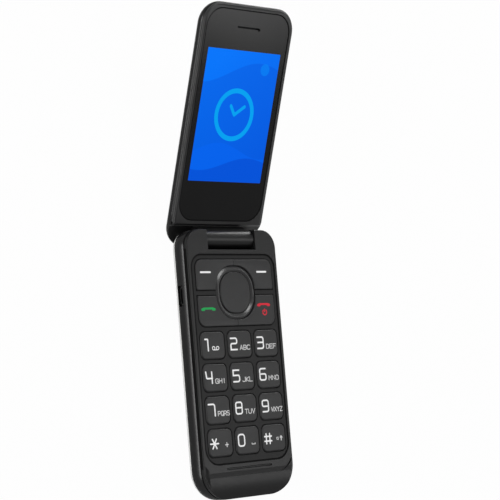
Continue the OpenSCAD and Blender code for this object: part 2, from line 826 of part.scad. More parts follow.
module sim_socket() {
    z = floor_low - seam;
    color(STEEL) difference() {
        block(sim_x - sim_w / 2, sim_x + sim_w / 2, sim_low_y, sim_low_y + sim_w, z - can_h, z);
        block(sim_x - sim_w / 2 + 0.5, sim_x + sim_w / 2 - 0.5, sim_low_y - 0.5, sim_low_y + sim_w - 0.5,
            z - 1.3, z - 0.4);
        block(sim_x - 3.5, sim_x + 3.5, sim_low_y - 0.5, sim_low_y + sim_w / 2, z - 2, z - 1);
    }
}

module base_screws() {
    color(STEEL) for (p = BASE_SCREWS) {
        post(p[0], p[1], screw_head_r, screw_seat - screw_head_h, screw_seat);
        post(p[0], p[1], screw_r, screw_seat - 0.1, screw_top);
    }
}

// ---- Keypad ----

module ring_outline(grow) {
    translate([0, nav_y]) pad(ring_w + 2 * grow, ring_w + 2 * grow, ring_r + grow);
}

module keypad_plate() {
    color(BLACK) translate([0, 0, plate_low]) linear_extrude(plate_t) difference() {
        outline(2 * plate_half, plate_low_y, plate_high_y, plate_low_r, plate_r);
        for (p = KEY_CENTRES) translate(p)
            pad(key_w + 2 * key_gap, key_h + 2 * key_gap, key_r + key_gap);
        difference() {
            nav_outline(key_gap);
            for (s = [-1, 1]) translate([s * nav_half_w, nav_y])
                square([nav_half_w, divider_h - 2 * key_gap], center = true);
        }
        ring_outline(key_gap);
    }
}

// Outline of the navigation cluster, drawn outwards by grow
module nav_outline(grow) {
    translate([0, nav_y]) pad(2 * (nav_half_w + grow), nav_h + 2 * grow, nav_r + grow);
}

// A number key: crowned cap with a flange under the plate
module keycap(i) {
    bevel = 0.35;
    centre = KEY_CENTRES[i];
    color(KEY_GREY) translate([centre[0], centre[1], 0]) {
        hull() {
            translate([0, 0, flange_top]) linear_extrude(key_top - bevel - flange_top)
                pad(key_w, key_h, key_r, $fn = 24);
            translate([0, 0, key_top - 0.02]) linear_extrude(0.02)
                pad(key_w - 2 * bevel, key_h - 2 * bevel, key_r - bevel, $fn = 24);
        }
        translate([0, 0, flange_low]) linear_extrude(flange_t)
            pad(key_w + 2 * key_flange, key_h + 2 * key_flange, key_r + key_flange);
    }
}

// One quarter of the navigation cluster; sx and sy pick the side
module corner_key_outline(sx, sy, grow) {
    y_outer = sy > 0 ? nav_high_y : nav_low_y;
    y_inner = nav_y + sy * divider_h / 2;
    difference() {
        intersection() {
            nav_outline(grow);
            translate([sx > 0 ? 0.1 : -nav_half_w - 2, sy > 0 ? y_inner : y_outer - 2])
                square([nav_half_w + 1.9, abs(y_outer - y_inner) + 2]);
        }
        ring_outline(key_gap);
    }
}

module corner_key(sx, sy) {
    bevel = 0.3;
    color(KEY_GREY) {
        translate([0, 0, flange_top]) linear_extrude(key_top - bevel - flange_top)
            corner_key_outline(sx, sy, 0);
        translate([0, 0, key_top - bevel]) linear_extrude(bevel)
            corner_key_outline(sx, sy, -bevel / 2);
        translate([0, 0, flange_low]) linear_extrude(flange_t)
            corner_key_outline(sx, sy, key_flange);
    }
}

pivot_mid = ring_w / 2 - 1;
pivot_low = mat_top + press_gap;
pivot_t = 0.3;
ring_low = pivot_low + pivot_t + 0.3;
ok_low = ring_low - 0.35;
ok_flange_top = ok_low + 0.6;
ok_gap = 0.25;
ok_w = ring_w - 2 * (ring_band + ok_gap);
ok_r = ring_r - ring_band - 0.2;

// Rocker ring with a bevelled band
module nav_ring() {
    bevel = 0.55;
    hole_w = ring_w - 2 * ring_band;
    hole_r = ring_r - ring_band;
    color(KEY_GREY) translate([0, nav_y, 0]) difference() {
        hull() {
            translate([0, 0, ring_low]) linear_extrude(ring_top - bevel - ring_low)
                pad(ring_w, ring_w, ring_r);
            translate([0, 0, ring_top - 0.02]) linear_extrude(0.02)
                pad(ring_w - 2 * bevel, ring_w - 2 * bevel, ring_r - bevel);
        }
        translate([0, 0, ring_low - 1]) linear_extrude(base_t) pad(hole_w, hole_w, hole_r);
        translate([0, 0, ring_low - 1]) linear_extrude(ok_flange_top + 0.4 - ring_low + 1)
            pad(hole_w + 1, hole_w + 1, hole_r + 0.5);
    }
}

// Rocking plate under the ring: it tips left and right, and the ring tips up and down on it
module nav_pivot() {
    outer = ring_w - 0.4;
    inner = 2 * (pivot_mid - 0.8);
    color(STEEL) translate([0, nav_y, 0]) {
        translate([0, 0, pivot_low]) linear_extrude(pivot_t) difference() {
            pad(outer, outer, ring_r - 0.2);
            pad(inner, inner, ring_r - 1.6);
        }
        for (s = [-1, 1]) post(s * pivot_mid, 0, 0.5, pivot_low, ring_low - seam);
    }
}

module ok_key() {
    bevel = 0.35;
    color(KEY_GREY) translate([0, nav_y, 0]) {
        hull() {
            translate([0, 0, ok_flange_top]) linear_extrude(ring_top - bevel - ok_flange_top)
                pad(ok_w, ok_w, ok_r);
            translate([0, 0, ring_top - 0.02]) linear_extrude(0.02)
                pad(ok_w - 2 * bevel, ok_w - 2 * bevel, ok_r - bevel);
        }
        translate([0, 0, ok_low]) linear_extrude(ok_flange_top - ok_low)
            pad(ok_w + 0.7, ok_w + 0.7, ok_r + 0.3);
    }
}

// ---- Hinge ----

bush_bore = bush_r - 0.7;
pin_reach = 8;
bush_reach = 9;

module hinge_pin() {
    color(STEEL) axle(pin_r, -pin_end, -pin_reach);
}

module hinge_bush() {
    color(STEEL) difference() {
        axle(bush_r, bush_reach, pin_end);
        axle(bush_bore, bush_reach - 1, pin_end + 1);
    }
}

cartridge_end = cartridge_l + 0.3 - knuckle_l / 2;
chamber_r = 2.3;

module hinge_cartridge() {
    x0 = -knuckle_l / 2 + 0.2;
    color(STEEL) difference() {
        axle(cartridge_r, x0, cartridge_end - 0.1);
        axle(pin_r + running_gap, x0 - 1, -pin_reach + 0.5);
        axle(chamber_r, -pin_reach + 0.2, cartridge_end - 0.9);
    }
}

// Compression spring of the cam, wound along the hinge axis
module hinge_spring() {
    wire_r = 0.3;
    turns = 5;
    mean_r = chamber_r - wire_r - 0.1;
    x0 = -pin_reach + 0.6;
    length = cartridge_end - 1.3 - x0;
    color(STEEL) translate([x0, 0, 0]) rotate([0, 90, 0])
        linear_extrude(length, twist = -360 * turns, slices = 12 * turns, $fn = 6)
            translate([mean_r, 0]) scale([1, 2]) circle(wire_r);
}

flex_x0 = cartridge_end + 2.3;
flex_t = 0.12;
flex_turns = 2.5;

// Section through the rolled strip: a spiral from radius r0 out to r1
module rolled_strip(r0, r1, turns, t) {
    steps = 16 * turns;
    inner = [
        for (i = [0:steps]) let (a = 360 * turns * i / steps - 90, r = r0 + (r1 - r0) * i / steps)
            [r * cos(a), r * sin(a)]
    ];
    outer = [
        for (i = [steps:-1:0]) let (a = 360 * turns * i / steps - 90, r = r0 + (r1 - r0) * i / steps + t)
            [r * cos(a), r * sin(a)]
    ];
    polygon(concat(inner, outer));
}

// Flex cable: wound loosely in the knuckle, with a tail through the bush and one to the lid's board
module hinge_flex() {
    roll_r = bush_r - 0.1;
    roll_w = bush_reach - 0.8 - flex_x0;
    tail = bush_bore - 0.3;
    color([0.85, 0.5, 0.15]) {
        translate([flex_x0 + 0.3, 0, 0]) rotate([90, 0, 90]) linear_extrude(roll_w)
            rolled_strip(tail - flex_t, roll_r - flex_t, flex_turns, flex_t);
        block(flex_x0 + 0.3, pin_end - 0.5, -0.4, 0.4, -tail, -tail + flex_t);
        block(flex_x0 + 0.6, bush_reach - 0.8, -flex_t / 2, flex_t / 2, lid_board_z + 0.05, -roll_r + 0.9);
    }
}

// ---- Lid ----

lid_boss_x = lid_inner_half - boss_r - 2.5;
lid_boss_y = lid_top - lid_wall - boss_r - 2.8;
heel_screw_x = lid_boss_x - 1.5;
heel_screw_y = (lip_y + lid_solid_y) / 2;
TOP_SCREWS = [[-lid_boss_x, lid_boss_y], [lid_boss_x, lid_boss_y]];
LID_SCREWS = concat(TOP_SCREWS, [[-heel_screw_x, heel_screw_y], [heel_screw_x, heel_screw_y]]);

// Side band, hood and the knuckle that sits between the shoulders
module lid_housing() {
    color(BLACK) difference() {
        union() {
            difference() {
                lid_form(lid_cover_z + seam, lid_band_z - seam);
                // seat of the front frame, and the open front of the lid above the hinge block
                prism(2 * lid_inner_half, frame_low_y - 0.1, lid_top - lid_wall, 2,
                    lid_top_r - lid_wall, ledge_z - ledge_t - seam, rim_z);
                difference() {
                    prism(2 * lid_inner_half, lid_solid_y, lid_top - lid_wall, 2,
                        lid_top_r - lid_wall, lid_floor_z, rim_z);
                    for (p = TOP_SCREWS)
                        post(p[0], p[1], boss_r, lid_floor_z - 1, ledge_z - ledge_t - seam);
                }
                axle(hood_r, -body_w, body_w);
            }
            // knuckle and its neck
            axle(knuckle_r, -knuckle_l / 2, knuckle_l / 2);
            intersection() {
                block(-knuckle_l / 2, knuckle_l / 2, -knuckle_r, knuckle_r, -hood_r - 1, 0);
                axle(hood_r + 0.3, -knuckle_l / 2, knuckle_l / 2);
            }
        }
        // cam cartridge, flex roll and the flex's way to the board
        axle(cartridge_r + 0.02, -knuckle_l, cartridge_end);
        axle(bush_r + running_gap, flex_x0, knuckle_l);
        block(flex_x0, bush_reach - 0.5, -0.5, 0.5, lid_board_z - 0.3, 0);
        block(flex_x0, bush_reach - 0.5, -0.5, lid_solid_y + 1, lid_board_z - 0.3, lid_board_z + 0.4);
        for (p = LID_SCREWS) {
            post(p[0], p[1], screw_r + screw_fit, lid_back - 1, rim_z);
            post(p[0], p[1], screw_head_r + screw_fit, lid_back - 1, lid_cover_z + seam + lid_head_h);
        }
        // camera looks out through the floor
        post(camera_x, camera_y, lens_r + 0.2, lid_back - 1, lid_floor_z + 1);
    }
}

module lid_front_frame() {
    inner = lid_inner_half - 0.1;
    color(BLACK) difference() {
        union() {
            mirror([0, 0, 1]) translate([0, 0, -rim_z])
                pebble(body_w - 2 * lid_step_in, lid_step_in - hood_reach, lid_top - lid_step_in,
                    lid_heel_r - lid_step_in, lid_top_r - lid_step_in, 0.4, lid_frame_h);
            prism(2 * inner, frame_low_y, lid_top - lid_wall - 0.1, 1.9, lid_top_r - lid_wall - 0.1,
                ledge_z - ledge_t, rim_z - lid_frame_h + 0.1);
        }
        // seat of the window, the view of the picture and the earpiece
        prism(2 * (window_half + seam), window_low - seam, window_top + seam, window_r, window_r,
            window_z - window_t - seam, rim_z + 1);
        translate([0, screen_y, lcd_z - 1]) linear_extrude(lid_t)
            square([screen_w + 1, screen_h + 1], center = true);
        translate([0, ear_y, lcd_z - 1]) linear_extrude(lid_t) pad(ear_l + 1, 3, 1.4);
        for (p = LID_SCREWS) post(p[0], p[1], screw_r + thread_fit, lcd_z - 1, ledge_z + 0.01);
        axle(hood_r, -body_w, body_w);
    }
}

module lid_cover() {
    color(WHITE) difference() {
        lid_form(lid_back, lid_cover_z);
        // stepped seat of the camera window
        post(camera_x, camera_y, camera_window_r + 0.1, lid_back - 1, lens_z);
        post(camera_x, camera_y, lens_r + 0.1, lid_back - 1, lid_back + lid_t);
    }
}

module display_window() {
    color([0.1, 0.1, 0.11, 0.6]) translate([0, 0, window_z - window_t]) linear_extrude(window_t)
        difference() {
            outline(2 * window_half, window_low, window_top, window_r, window_r);
            translate([0, ear_y]) pad(ear_l, ear_w, ear_w / 2 - 0.01);
        }
}

module lcd_module() {
    color([0.1, 0.4, 0.9])
        block(-lcd_half_w, lcd_half_w, lcd_low_y, lcd_high_y, lcd_z - lcd_t, lcd_z);
}

module lid_board() {
    color(BOARD_GREEN)
        block(-lcd_half_w + 1, lcd_half_w - 1, lid_solid_y + 0.2, lcd_high_y,
            lid_board_z - lid_board_t, lid_board_z);
}

module earpiece() {
    color(STEEL) translate([0, ear_y, lid_floor_z + 0.1])
        linear_extrude(ledge_z - ledge_t - 0.1 - lid_floor_z - 0.1) pad(ear_l - 1, 5.4, 2);
}

module earpiece_mesh() {
    color([0.35, 0.35, 0.36]) translate([0, ear_y, ledge_z - 0.3]) linear_extrude(0.3)
        pad(ear_l + 0.8, 2.8, 1.3);
}

camera_w = 6.4;
camera_x = -(lid_boss_x - boss_r - camera_w / 2 - 0.6);
camera_y = ear_y + 0.9;
camera_window_r = 3.2;
camera_window_t = 0.8;
lens_r = camera_w / 2 - 0.4;
lens_z = lid_back + camera_window_t + seam;
lid_head_h = 0.75;

module camera_module() {
    color([0.15, 0.15, 0.15]) {
        translate([camera_x, camera_y, lid_floor_z + 0.1])
            linear_extrude(ledge_z - ledge_t - 0.1 - lid_floor_z - 0.1)
                pad(camera_w, camera_w, 0.5);
        post(camera_x, camera_y, lens_r, lens_z, lid_floor_z + 0.2);
    }
}

module camera_window() {
    color([0.05, 0.05, 0.06]) post(camera_x, camera_y, camera_window_r, lid_back,
        lid_back + camera_window_t);
}

magnet_w = 4;
magnet_x = lid_boss_x - boss_r - magnet_w / 2 - 1;

module lid_magnet() {
    color(STEEL) block(magnet_x - magnet_w / 2, magnet_x + magnet_w / 2, ear_y - 1, ear_y + 2,
        lid_floor_z + 0.05, lid_floor_z + 1.6);
}

module lid_screws() {
    color(STEEL) for (p = LID_SCREWS) {
        post(p[0], p[1], screw_head_r, lid_cover_z + seam, lid_cover_z + lid_head_h);
        post(p[0], p[1], screw_r, lid_cover_z + lid_head_h - 0.1, ledge_z - 0.1);
    }
}

// ---- The phone ----

in_base() base_front_cover();
in_base() base_frame();
in_base() battery_cover();
in_base() battery();
in_base() battery_contacts();
in_base() main_board();
in_base() shield_cans();
in_base() dome_sheet();
in_base() key_mat();
in_base() keypad_plate();
for (i = [0:11])
    in_base() keycap(i);
in_base() corner_key(-1, 1);  // softkey_left
in_base() corner_key(1, 1);  // softkey_right
in_base() corner_key(-1, -1);  // send_key
in_base() corner_key(1, -1);  // end_key
in_base() nav_ring();
in_base() nav_pivot();
in_base() ok_key();
in_base() microphone();
in_base() loudspeaker();
in_base() vibration_motor();
in_base() usb_port();
in_base() sim_socket();
in_base() base_screws();
in_base() hinge_pin();
in_base() hinge_bush();
in_lid() lid_housing();
in_lid() lid_front_frame();
in_lid() lid_cover();
in_lid() display_window();
in_lid() lcd_module();
in_lid() lid_board();
in_lid() earpiece();
in_lid() earpiece_mesh();
in_lid() camera_module();
in_lid() camera_window();
in_lid() lid_magnet();
in_lid() lid_screws();
in_lid() hinge_cartridge();
in_lid() hinge_spring();
in_lid() hinge_flex();
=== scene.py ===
"""Looks of the open flip phone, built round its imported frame."""
import json
import math

import bmesh
import bpy
from mathutils import Matrix, Vector


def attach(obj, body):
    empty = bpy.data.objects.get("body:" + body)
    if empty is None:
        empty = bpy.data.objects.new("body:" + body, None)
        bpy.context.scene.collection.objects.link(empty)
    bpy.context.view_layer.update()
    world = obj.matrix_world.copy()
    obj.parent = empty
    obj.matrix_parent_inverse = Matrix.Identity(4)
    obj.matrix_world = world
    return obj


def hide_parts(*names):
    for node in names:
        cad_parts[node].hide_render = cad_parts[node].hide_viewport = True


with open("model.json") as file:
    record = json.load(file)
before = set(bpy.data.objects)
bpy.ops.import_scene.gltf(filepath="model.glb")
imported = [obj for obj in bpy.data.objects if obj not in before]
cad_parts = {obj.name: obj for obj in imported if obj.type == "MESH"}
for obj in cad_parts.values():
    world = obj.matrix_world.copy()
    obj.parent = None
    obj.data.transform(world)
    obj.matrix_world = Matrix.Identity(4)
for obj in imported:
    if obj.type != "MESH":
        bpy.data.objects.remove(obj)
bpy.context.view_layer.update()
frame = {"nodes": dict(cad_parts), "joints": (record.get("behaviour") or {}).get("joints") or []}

# ---- Frames of the two halves: millimetres from the hinge axis to metres of the part ----
MM = 0.001
joints = {j["name"]: j for j in frame["joints"]}
hinge = joints["lid_hinge"]
key_axis = joints["key_1_press"]["axis"]
REST_TILT = math.atan2(-key_axis[1], key_axis[2])
LID_TILT = math.radians(180 - hinge["range_deg"][1])
BASE = Matrix.Translation(Vector(hinge["pos_m"])) @ Matrix.Rotation(REST_TILT, 4, "X")
LID = BASE @ Matrix.Rotation(LID_TILT, 4, "X")

# ---- Measures of the keypad and the lid, in mm from the hinge axis ----
BACK_Z, FRONT_Z, KEY_TOP, RING_TOP = -7.1, 4.7, 4.9, 4.75
FLANGE_LOW, FLANGE_TOP, FLANGE = 2.65, 3.35, 0.5
KEY_W, KEY_H, KEY_R = 13.7, 11.45, 2.4
KEY_DX, KEY_DY, FIRST_KEY_Y = 15.8, 13.65, -45.625
NAV_Y, NAV_HALF_W, NAV_HALF_H, NAV_R, NAV_GAP = -23.4, 22.35, 14.2, 3.5, 0.2
DIVIDER_H = 2.6
RING_W, RING_R, RING_BAND = 22.8, 10.0, 2.4
RING_LOW, RING_RECESS = 2.8, 3.45
OK_W, OK_R, OK_LOW, OK_FLANGE_TOP = 17.5, 7.4, 2.45, 3.05
KNUCKLE_R = 4.2
NOTCH_HALF, NOTCH_LOW_Y = 15.4, -6.2
WINDOW_Z = -5.2
SCREEN_W, SCREEN_H, SCREEN_Y = 42.7, 56.9, 52.8
EAR_Y = 91.0

# ---- Materials ----
CLOUD_SCALE, CLOUD_DETAIL = 90.0, 2.0
SMUDGE_SCALE, SMUDGE_DETAIL, SMUDGE_ROUGH, SMUDGE_LOW, SMUDGE_HIGH = 260.0, 4.0, 0.6, 0.3, 0.7
GRAIN_SCALE, GRAIN_DETAIL, GRAIN_DEPTH = 4200.0, 2.0, 0.00004
NOISE_ROUGH, COAT_ROUGH = 0.5, 0.05
WHITE, NEUTRAL, WARM_WHITE = (1.0, 1.0, 1.0), (1.0, 1.0, 1.02), (1.0, 1.0, 0.985)


def grey(value, tint=WHITE):
    return (value * tint[0], value * tint[1], value * tint[2], 1.0)


class Look:
    """One material, and the steps that its shader graph is made of."""

    def __init__(self, name):
        self.mat = bpy.data.materials.new(name)
        self.mat.use_nodes = True
        self.nodes = self.mat.node_tree.nodes
        self.links = self.mat.node_tree.links
        self.shader = self.nodes.get("Principled BSDF")

    def feed(self, socket, value):
        """Link a socket to an output, or set it to a plain value."""
        if isinstance(value, bpy.types.NodeSocket):
            self.links.new(value, socket)
        else:
            socket.default_value = value

    def put(self, **sockets):
        """Feed sockets of the shader; an underscore stands for the space in a socket's name."""
        for name, value in sockets.items():
            self.feed(self.shader.inputs[name.replace("_", " ")], value)

    def shown(self, name):
        """Output that feeds a socket of the shader."""
        return self.shader.inputs[name].links[0].from_socket

    def noise(self, scale, detail, rough=NOISE_ROUGH):
        tex = self.nodes.new("ShaderNodeTexNoise")
        self.feed(tex.inputs["Scale"], scale)
        self.feed(tex.inputs["Detail"], detail)
        self.feed(tex.inputs["Roughness"], rough)
        coord = self.nodes.new("ShaderNodeTexCoord")
        self.feed(tex.inputs["Vector"], coord.outputs["Object"])
        return tex.outputs["Fac"]

    def span(self, value, from_low, from_high, to_low=0.0, to_high=1.0):
        node = self.nodes.new("ShaderNodeMapRange")
        self.feed(node.inputs["From Min"], from_low)
        self.feed(node.inputs["From Max"], from_high)
        self.feed(node.inputs["To Min"], to_low)
        self.feed(node.inputs["To Max"], to_high)
        self.feed(node.inputs["Value"], value)
        return node.outputs["Result"]

    def mix(self, share, first, second):
        node = self.nodes.new("ShaderNodeMix")
        node.data_type = "RGBA"
        self.feed(node.inputs["A"], first)
        self.feed(node.inputs["B"], second)
        self.feed(node.inputs["Factor"], share)
        return node.outputs["Result"]

    def math(self, operation, *values):
        node = self.nodes.new("ShaderNodeMath")
        node.operation = operation
        for socket, value in zip(node.inputs, values):
            self.feed(socket, value)
        return node.outputs["Value"]

    def above(self, value, start):
        """How far a value lies past its start, and 0 before it."""
        return self.math("MAXIMUM", self.math("SUBTRACT", value, start), 0.0)

    def parabola(self, value, factor):
        return self.math("MULTIPLY", self.math("MULTIPLY", value, value), factor)

    def bump(self, height, distance, strength=1.0):
        """Bump on top of any that is there."""
        node = self.nodes.new("ShaderNodeBump")
        self.feed(node.inputs["Strength"], strength)
        self.feed(node.inputs["Distance"], distance)
        self.feed(node.inputs["Height"], height)
        if self.shader.inputs["Normal"].is_linked:
            self.feed(node.inputs["Normal"], self.shown("Normal"))
        self.put(Normal=node.outputs["Normal"])

    def place(self, half):
        """Object coordinates turned into mm of one half's own frame."""
        coord = self.nodes.new("ShaderNodeTexCoord")
        mapping = self.nodes.new("ShaderNodeMapping")
        back = half.inverted()
        self.feed(mapping.inputs["Scale"], (1 / MM, 1 / MM, 1 / MM))
        self.feed(mapping.inputs["Rotation"], back.to_euler("XYZ"))
        self.feed(mapping.inputs["Location"], back.to_translation() / MM)
        self.feed(mapping.inputs["Vector"], coord.outputs["Object"])
        split = self.nodes.new("ShaderNodeSeparateXYZ")
        self.feed(split.inputs["Vector"], mapping.outputs["Vector"])
        return split.outputs["X"], split.outputs["Y"], split.outputs["Z"]


def plastic(name, low, high, rough, grain=0.0, specular=0.5, coat=0.0, tint=WHITE, metallic=0.0):
    """Moulded surface: colour drifts between low and high, roughness in rough, fine grain."""
    look = Look(name)
    cloud = look.noise(CLOUD_SCALE, CLOUD_DETAIL)
    smudge = look.noise(SMUDGE_SCALE, SMUDGE_DETAIL, SMUDGE_ROUGH)
    look.put(Base_Color=look.mix(cloud, grey(low, tint), grey(high, tint)),
             Roughness=look.span(smudge, SMUDGE_LOW, SMUDGE_HIGH, rough[0], rough[1]),
             Specular_IOR_Level=specular, Metallic=metallic,
             Coat_Weight=coat, Coat_Roughness=COAT_ROUGH)
    if grain:
        look.bump(look.noise(GRAIN_SCALE, GRAIN_DETAIL), GRAIN_DEPTH, grain)
    return look


BAND_BOW_Z, BAND_BOW = -2.2, 0.075
LID_BOW_Z, LID_BOW_TOP, LID_BOW, LID_BOW_FADE = -9.4, -6.04, 0.10, 6.0
KNUCKLE_MATT, KNUCKLE_FADE = 0.08, 0.4
RIM_START_X, RIM_START_Y, RIM_FALL = 24.55, 98.6, 0.26
CHIN_SWELL_Y, CHIN_SWELL, CHIN_SLOPE = -99.0, 11.5, 0.19
COVER_EDGE, NOTCH_SHADE_GREY = 0.4, 0.004


def crowned_rim():
    """Frame round the window: it falls away to the outer edge, as a softened rim does."""
    look = plastic("rim_shell", 0.012, 0.014, (0.30, 0.34), specular=0.4, tint=NEUTRAL)
    x, y, _ = look.place(LID)
    side = look.math("SUBTRACT", look.math("ABSOLUTE", x), RIM_START_X)
    head = look.math("SUBTRACT", y, RIM_START_Y)
    out = look.math("MAXIMUM", look.math("MAXIMUM", side, head), 0.0)
    look.bump(look.parabola(out, -RIM_FALL), MM)
    return look


def white_back():
    """White back shell, with painted shade: near black where it lies inside the hinge notch, under
    the knuckle.
    """
    look = plastic("white_back", 0.78, 0.82, (0.16, 0.20), 0.03, tint=WARM_WHITE)
    x, y, z = look.place(BASE)
    between = look.math("LESS_THAN", look.math("ABSOLUTE", x), NOTCH_HALF)
    inside = look.math("MULTIPLY", between, look.math("GREATER_THAN", y, NOTCH_LOW_Y))
    inside = look.math("MULTIPLY", inside, look.math("GREATER_THAN", z, BACK_Z + COVER_EDGE))
    # Painted shade: the white shell goes near black inside the notch
    look.put(Base_Color=look.mix(inside, look.shown("Base Color"), grey(NOTCH_SHADE_GREY)))
    return look


def chin_shell():
    """Front cover: the chin's upper edge leans to the keypad, as the moulding's swell does."""
    look = plastic("chin_shell", 0.006, 0.008, (0.32, 0.36), 0.10, specular=0.25, tint=NEUTRAL)
    _, y, _ = look.place(BASE)
    along = look.above(look.math("MINIMUM", y, CHIN_SWELL_Y), CHIN_SWELL_Y - CHIN_SWELL)
    look.bump(look.parabola(along, -CHIN_SLOPE / (2 * CHIN_SWELL)), MM)
    return look


def bowed_band():
    """Side band of the base: bowed outside the notch, so that its upper edge takes the light."""
    look = plastic("bowed_band", 0.004, 0.006, (0.25, 0.27), specular=0.3, tint=NEUTRAL)
    x, y, z = look.place(BASE)
    fall = look.parabola(look.above(z, BAND_BOW_Z), -BAND_BOW)
    aside = look.math("GREATER_THAN", look.math("ABSOLUTE", x), NOTCH_HALF)
    outside = look.math("MAXIMUM", aside, look.math("LESS_THAN", y, NOTCH_LOW_Y))
    look.bump(look.math("MULTIPLY", fall, outside), MM)
    return look


def lid_band():
    """Lid housing: bowed side band, and more matt where the knuckle turns."""
    look = plastic("lid_band", 0.004, 0.006, (0.26, 0.28), specular=0.3, tint=NEUTRAL)
    _, y, z = look.place(LID)
    up = look.math("MINIMUM", look.above(z, LID_BOW_Z), LID_BOW_TOP - LID_BOW_Z)
    beyond = look.span(y, KNUCKLE_R, KNUCKLE_R + LID_BOW_FADE)
    look.bump(look.math("MULTIPLY", look.parabola(up, -LID_BOW), beyond), MM)
    matt = look.span(y, KNUCKLE_R, KNUCKLE_R + KNUCKLE_FADE, KNUCKLE_MATT, 0.0)
    look.put(Roughness=look.math("ADD", look.shown("Roughness"), matt))
    return look


LOOKS = {
    "shell": plastic("black_shell", 0.006, 0.008, (0.32, 0.36), 0.10, 0.25, tint=NEUTRAL),
    "plate": plastic("plate_satin", 0.005, 0.007, (0.40, 0.44), 0.12, 0.2, tint=NEUTRAL),
    "key": plastic("keycap_satin", 0.016, 0.019, (0.40, 0.45), 0.12, 0.3, tint=NEUTRAL),
    "ring": plastic("ring_satin", 0.016, 0.019, (0.24, 0.28), 0.05, 0.55, tint=NEUTRAL),
    "ok": plastic("ok_satin", 0.015, 0.018, (0.40, 0.45), 0.12, 0.3, tint=NEUTRAL),
    "glass": plastic("window_gloss", 0.003, 0.004, (0.16, 0.17), 0.0, 0.22, tint=NEUTRAL),
    "white": plastic("white_gloss", 0.78, 0.82, (0.16, 0.20), 0.03, tint=WARM_WHITE),
    "ink": plastic("ink_white", 0.82, 0.88, (0.45, 0.55), specular=0.3),
    "ink_soft": plastic("ink_letters", 0.60, 0.68, (0.45, 0.55), specular=0.3),
    "green": plastic("ink_green", 0.30, 0.36, (0.45, 0.55), specular=0.2, tint=(0.02, 1.0, 0.22)),
    "red": plastic("ink_red", 0.60, 0.68, (0.45, 0.55), specular=0.2, tint=(1.0, 0.02, 0.05)),
    "steel": plastic("steel_plain", 0.55, 0.62, (0.28, 0.36), 0.05, metallic=1.0),
    "edge": plastic("lid_edge", 0.008, 0.010, (0.36, 0.40), specular=0.5, tint=NEUTRAL),
    # Nickel port shell, its colour darkened as painted shade for the inside of the recessed port
    "port": plastic("port_shaded_nickel", 0.10, 0.13, (0.40, 0.48), 0.05, metallic=1.0),
    "gold": plastic("gold_plate", 0.75, 0.82, (0.24, 0.32), tint=(1.0, 0.76, 0.36), metallic=1.0),
    "board": plastic("solder_mask", 0.03, 0.04, (0.30, 0.40), 0.1, tint=(0.2, 1.0, 0.45)),
    "dark": plastic("capsule_black", 0.006, 0.009, (0.5, 0.6), 0.2, 0.2),
    "rubber": plastic("silicone_black", 0.010, 0.014, (0.6, 0.7), 0.2, 0.2),
    "pack": plastic("battery_wrap", 0.22, 0.26, (0.35, 0.45), 0.05),
    "film": plastic("flex_film", 0.50, 0.55, (0.30, 0.38), tint=(1.0, 0.5, 0.12)),
    "lens": plastic("lens_gloss", 0.004, 0.006, (0.05, 0.07), specular=0.6, coat=0.5,
                    tint=(0.8, 0.85, 1.0)),
    # Near black: painted shade for the seam strips and the notch floor, and the light sensor's own
    # black
    "hole": plastic("shade_and_sensor_black", 0.002, 0.003, (0.7, 0.8), specular=0.1),
    "bowed_band": bowed_band(), "chin_shell": chin_shell(), "lid_band": lid_band(),
    "rim": crowned_rim(), "white_back": white_back(),
}
NODE_LOOK = {
    "base_front_cover": "chin_shell", "base_frame": "bowed_band", "battery_cover": "white_back",
    "battery": "pack", "battery_contacts": "gold", "main_board": "board", "shield_cans": "steel",
    "dome_sheet": "steel", "key_mat": "rubber", "keypad_plate": "plate", "nav_pivot": "steel",
    "microphone": "dark", "loudspeaker": "dark", "vibration_motor": "steel", "usb_port": "port",
    "sim_socket": "steel", "base_screws": "steel", "hinge_pin": "steel", "hinge_bush": "steel",
    "lid_housing": "lid_band", "lid_front_frame": "rim", "lid_cover": "white",
    "display_window": "glass", "lcd_module": "dark", "lid_board": "board", "earpiece": "dark",
    "earpiece_mesh": "dark", "camera_module": "dark", "camera_window": "lens",
    "lid_magnet": "steel", "lid_screws": "steel", "hinge_cartridge": "steel",
    "hinge_spring": "steel", "hinge_flex": "film",
}
for node, look in NODE_LOOK.items():
    obj = frame["nodes"][node]
    obj.data.materials.clear()
    obj.data.materials.append(LOOKS[look].mat)


# ---- Mesh helpers: everything is drawn in mm in one half's frame, then placed ----
WELD, SMOOTH_ANGLE, MITRE_LIMIT = 1e-6, 35.0, 0.5
CORNER_STEPS, EDGE_STEPS, CAP_STEPS, CIRCLE_STEPS = 8, 5, 5, 24


def add_piece(name, bm, look, body, place, replaced=(), smooth_angle=SMOOTH_ANGLE):
    bmesh.ops.remove_doubles(bm, verts=bm.verts, dist=WELD)
    bmesh.ops.recalc_face_normals(bm, faces=bm.faces)
    mesh = bpy.data.meshes.new(name)
    bm.to_mesh(mesh)
    bm.free()
    mesh.transform(place @ Matrix.Scale(MM, 4))
    mesh.shade_smooth()
    mesh.set_sharp_from_angle(angle=math.radians(smooth_angle))
    mesh.materials.append(LOOKS[look].mat)
    obj = bpy.data.objects.new(name, mesh)
    bpy.context.scene.collection.objects.link(obj)
    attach(obj, body)
    if replaced:
        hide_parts(*replaced)


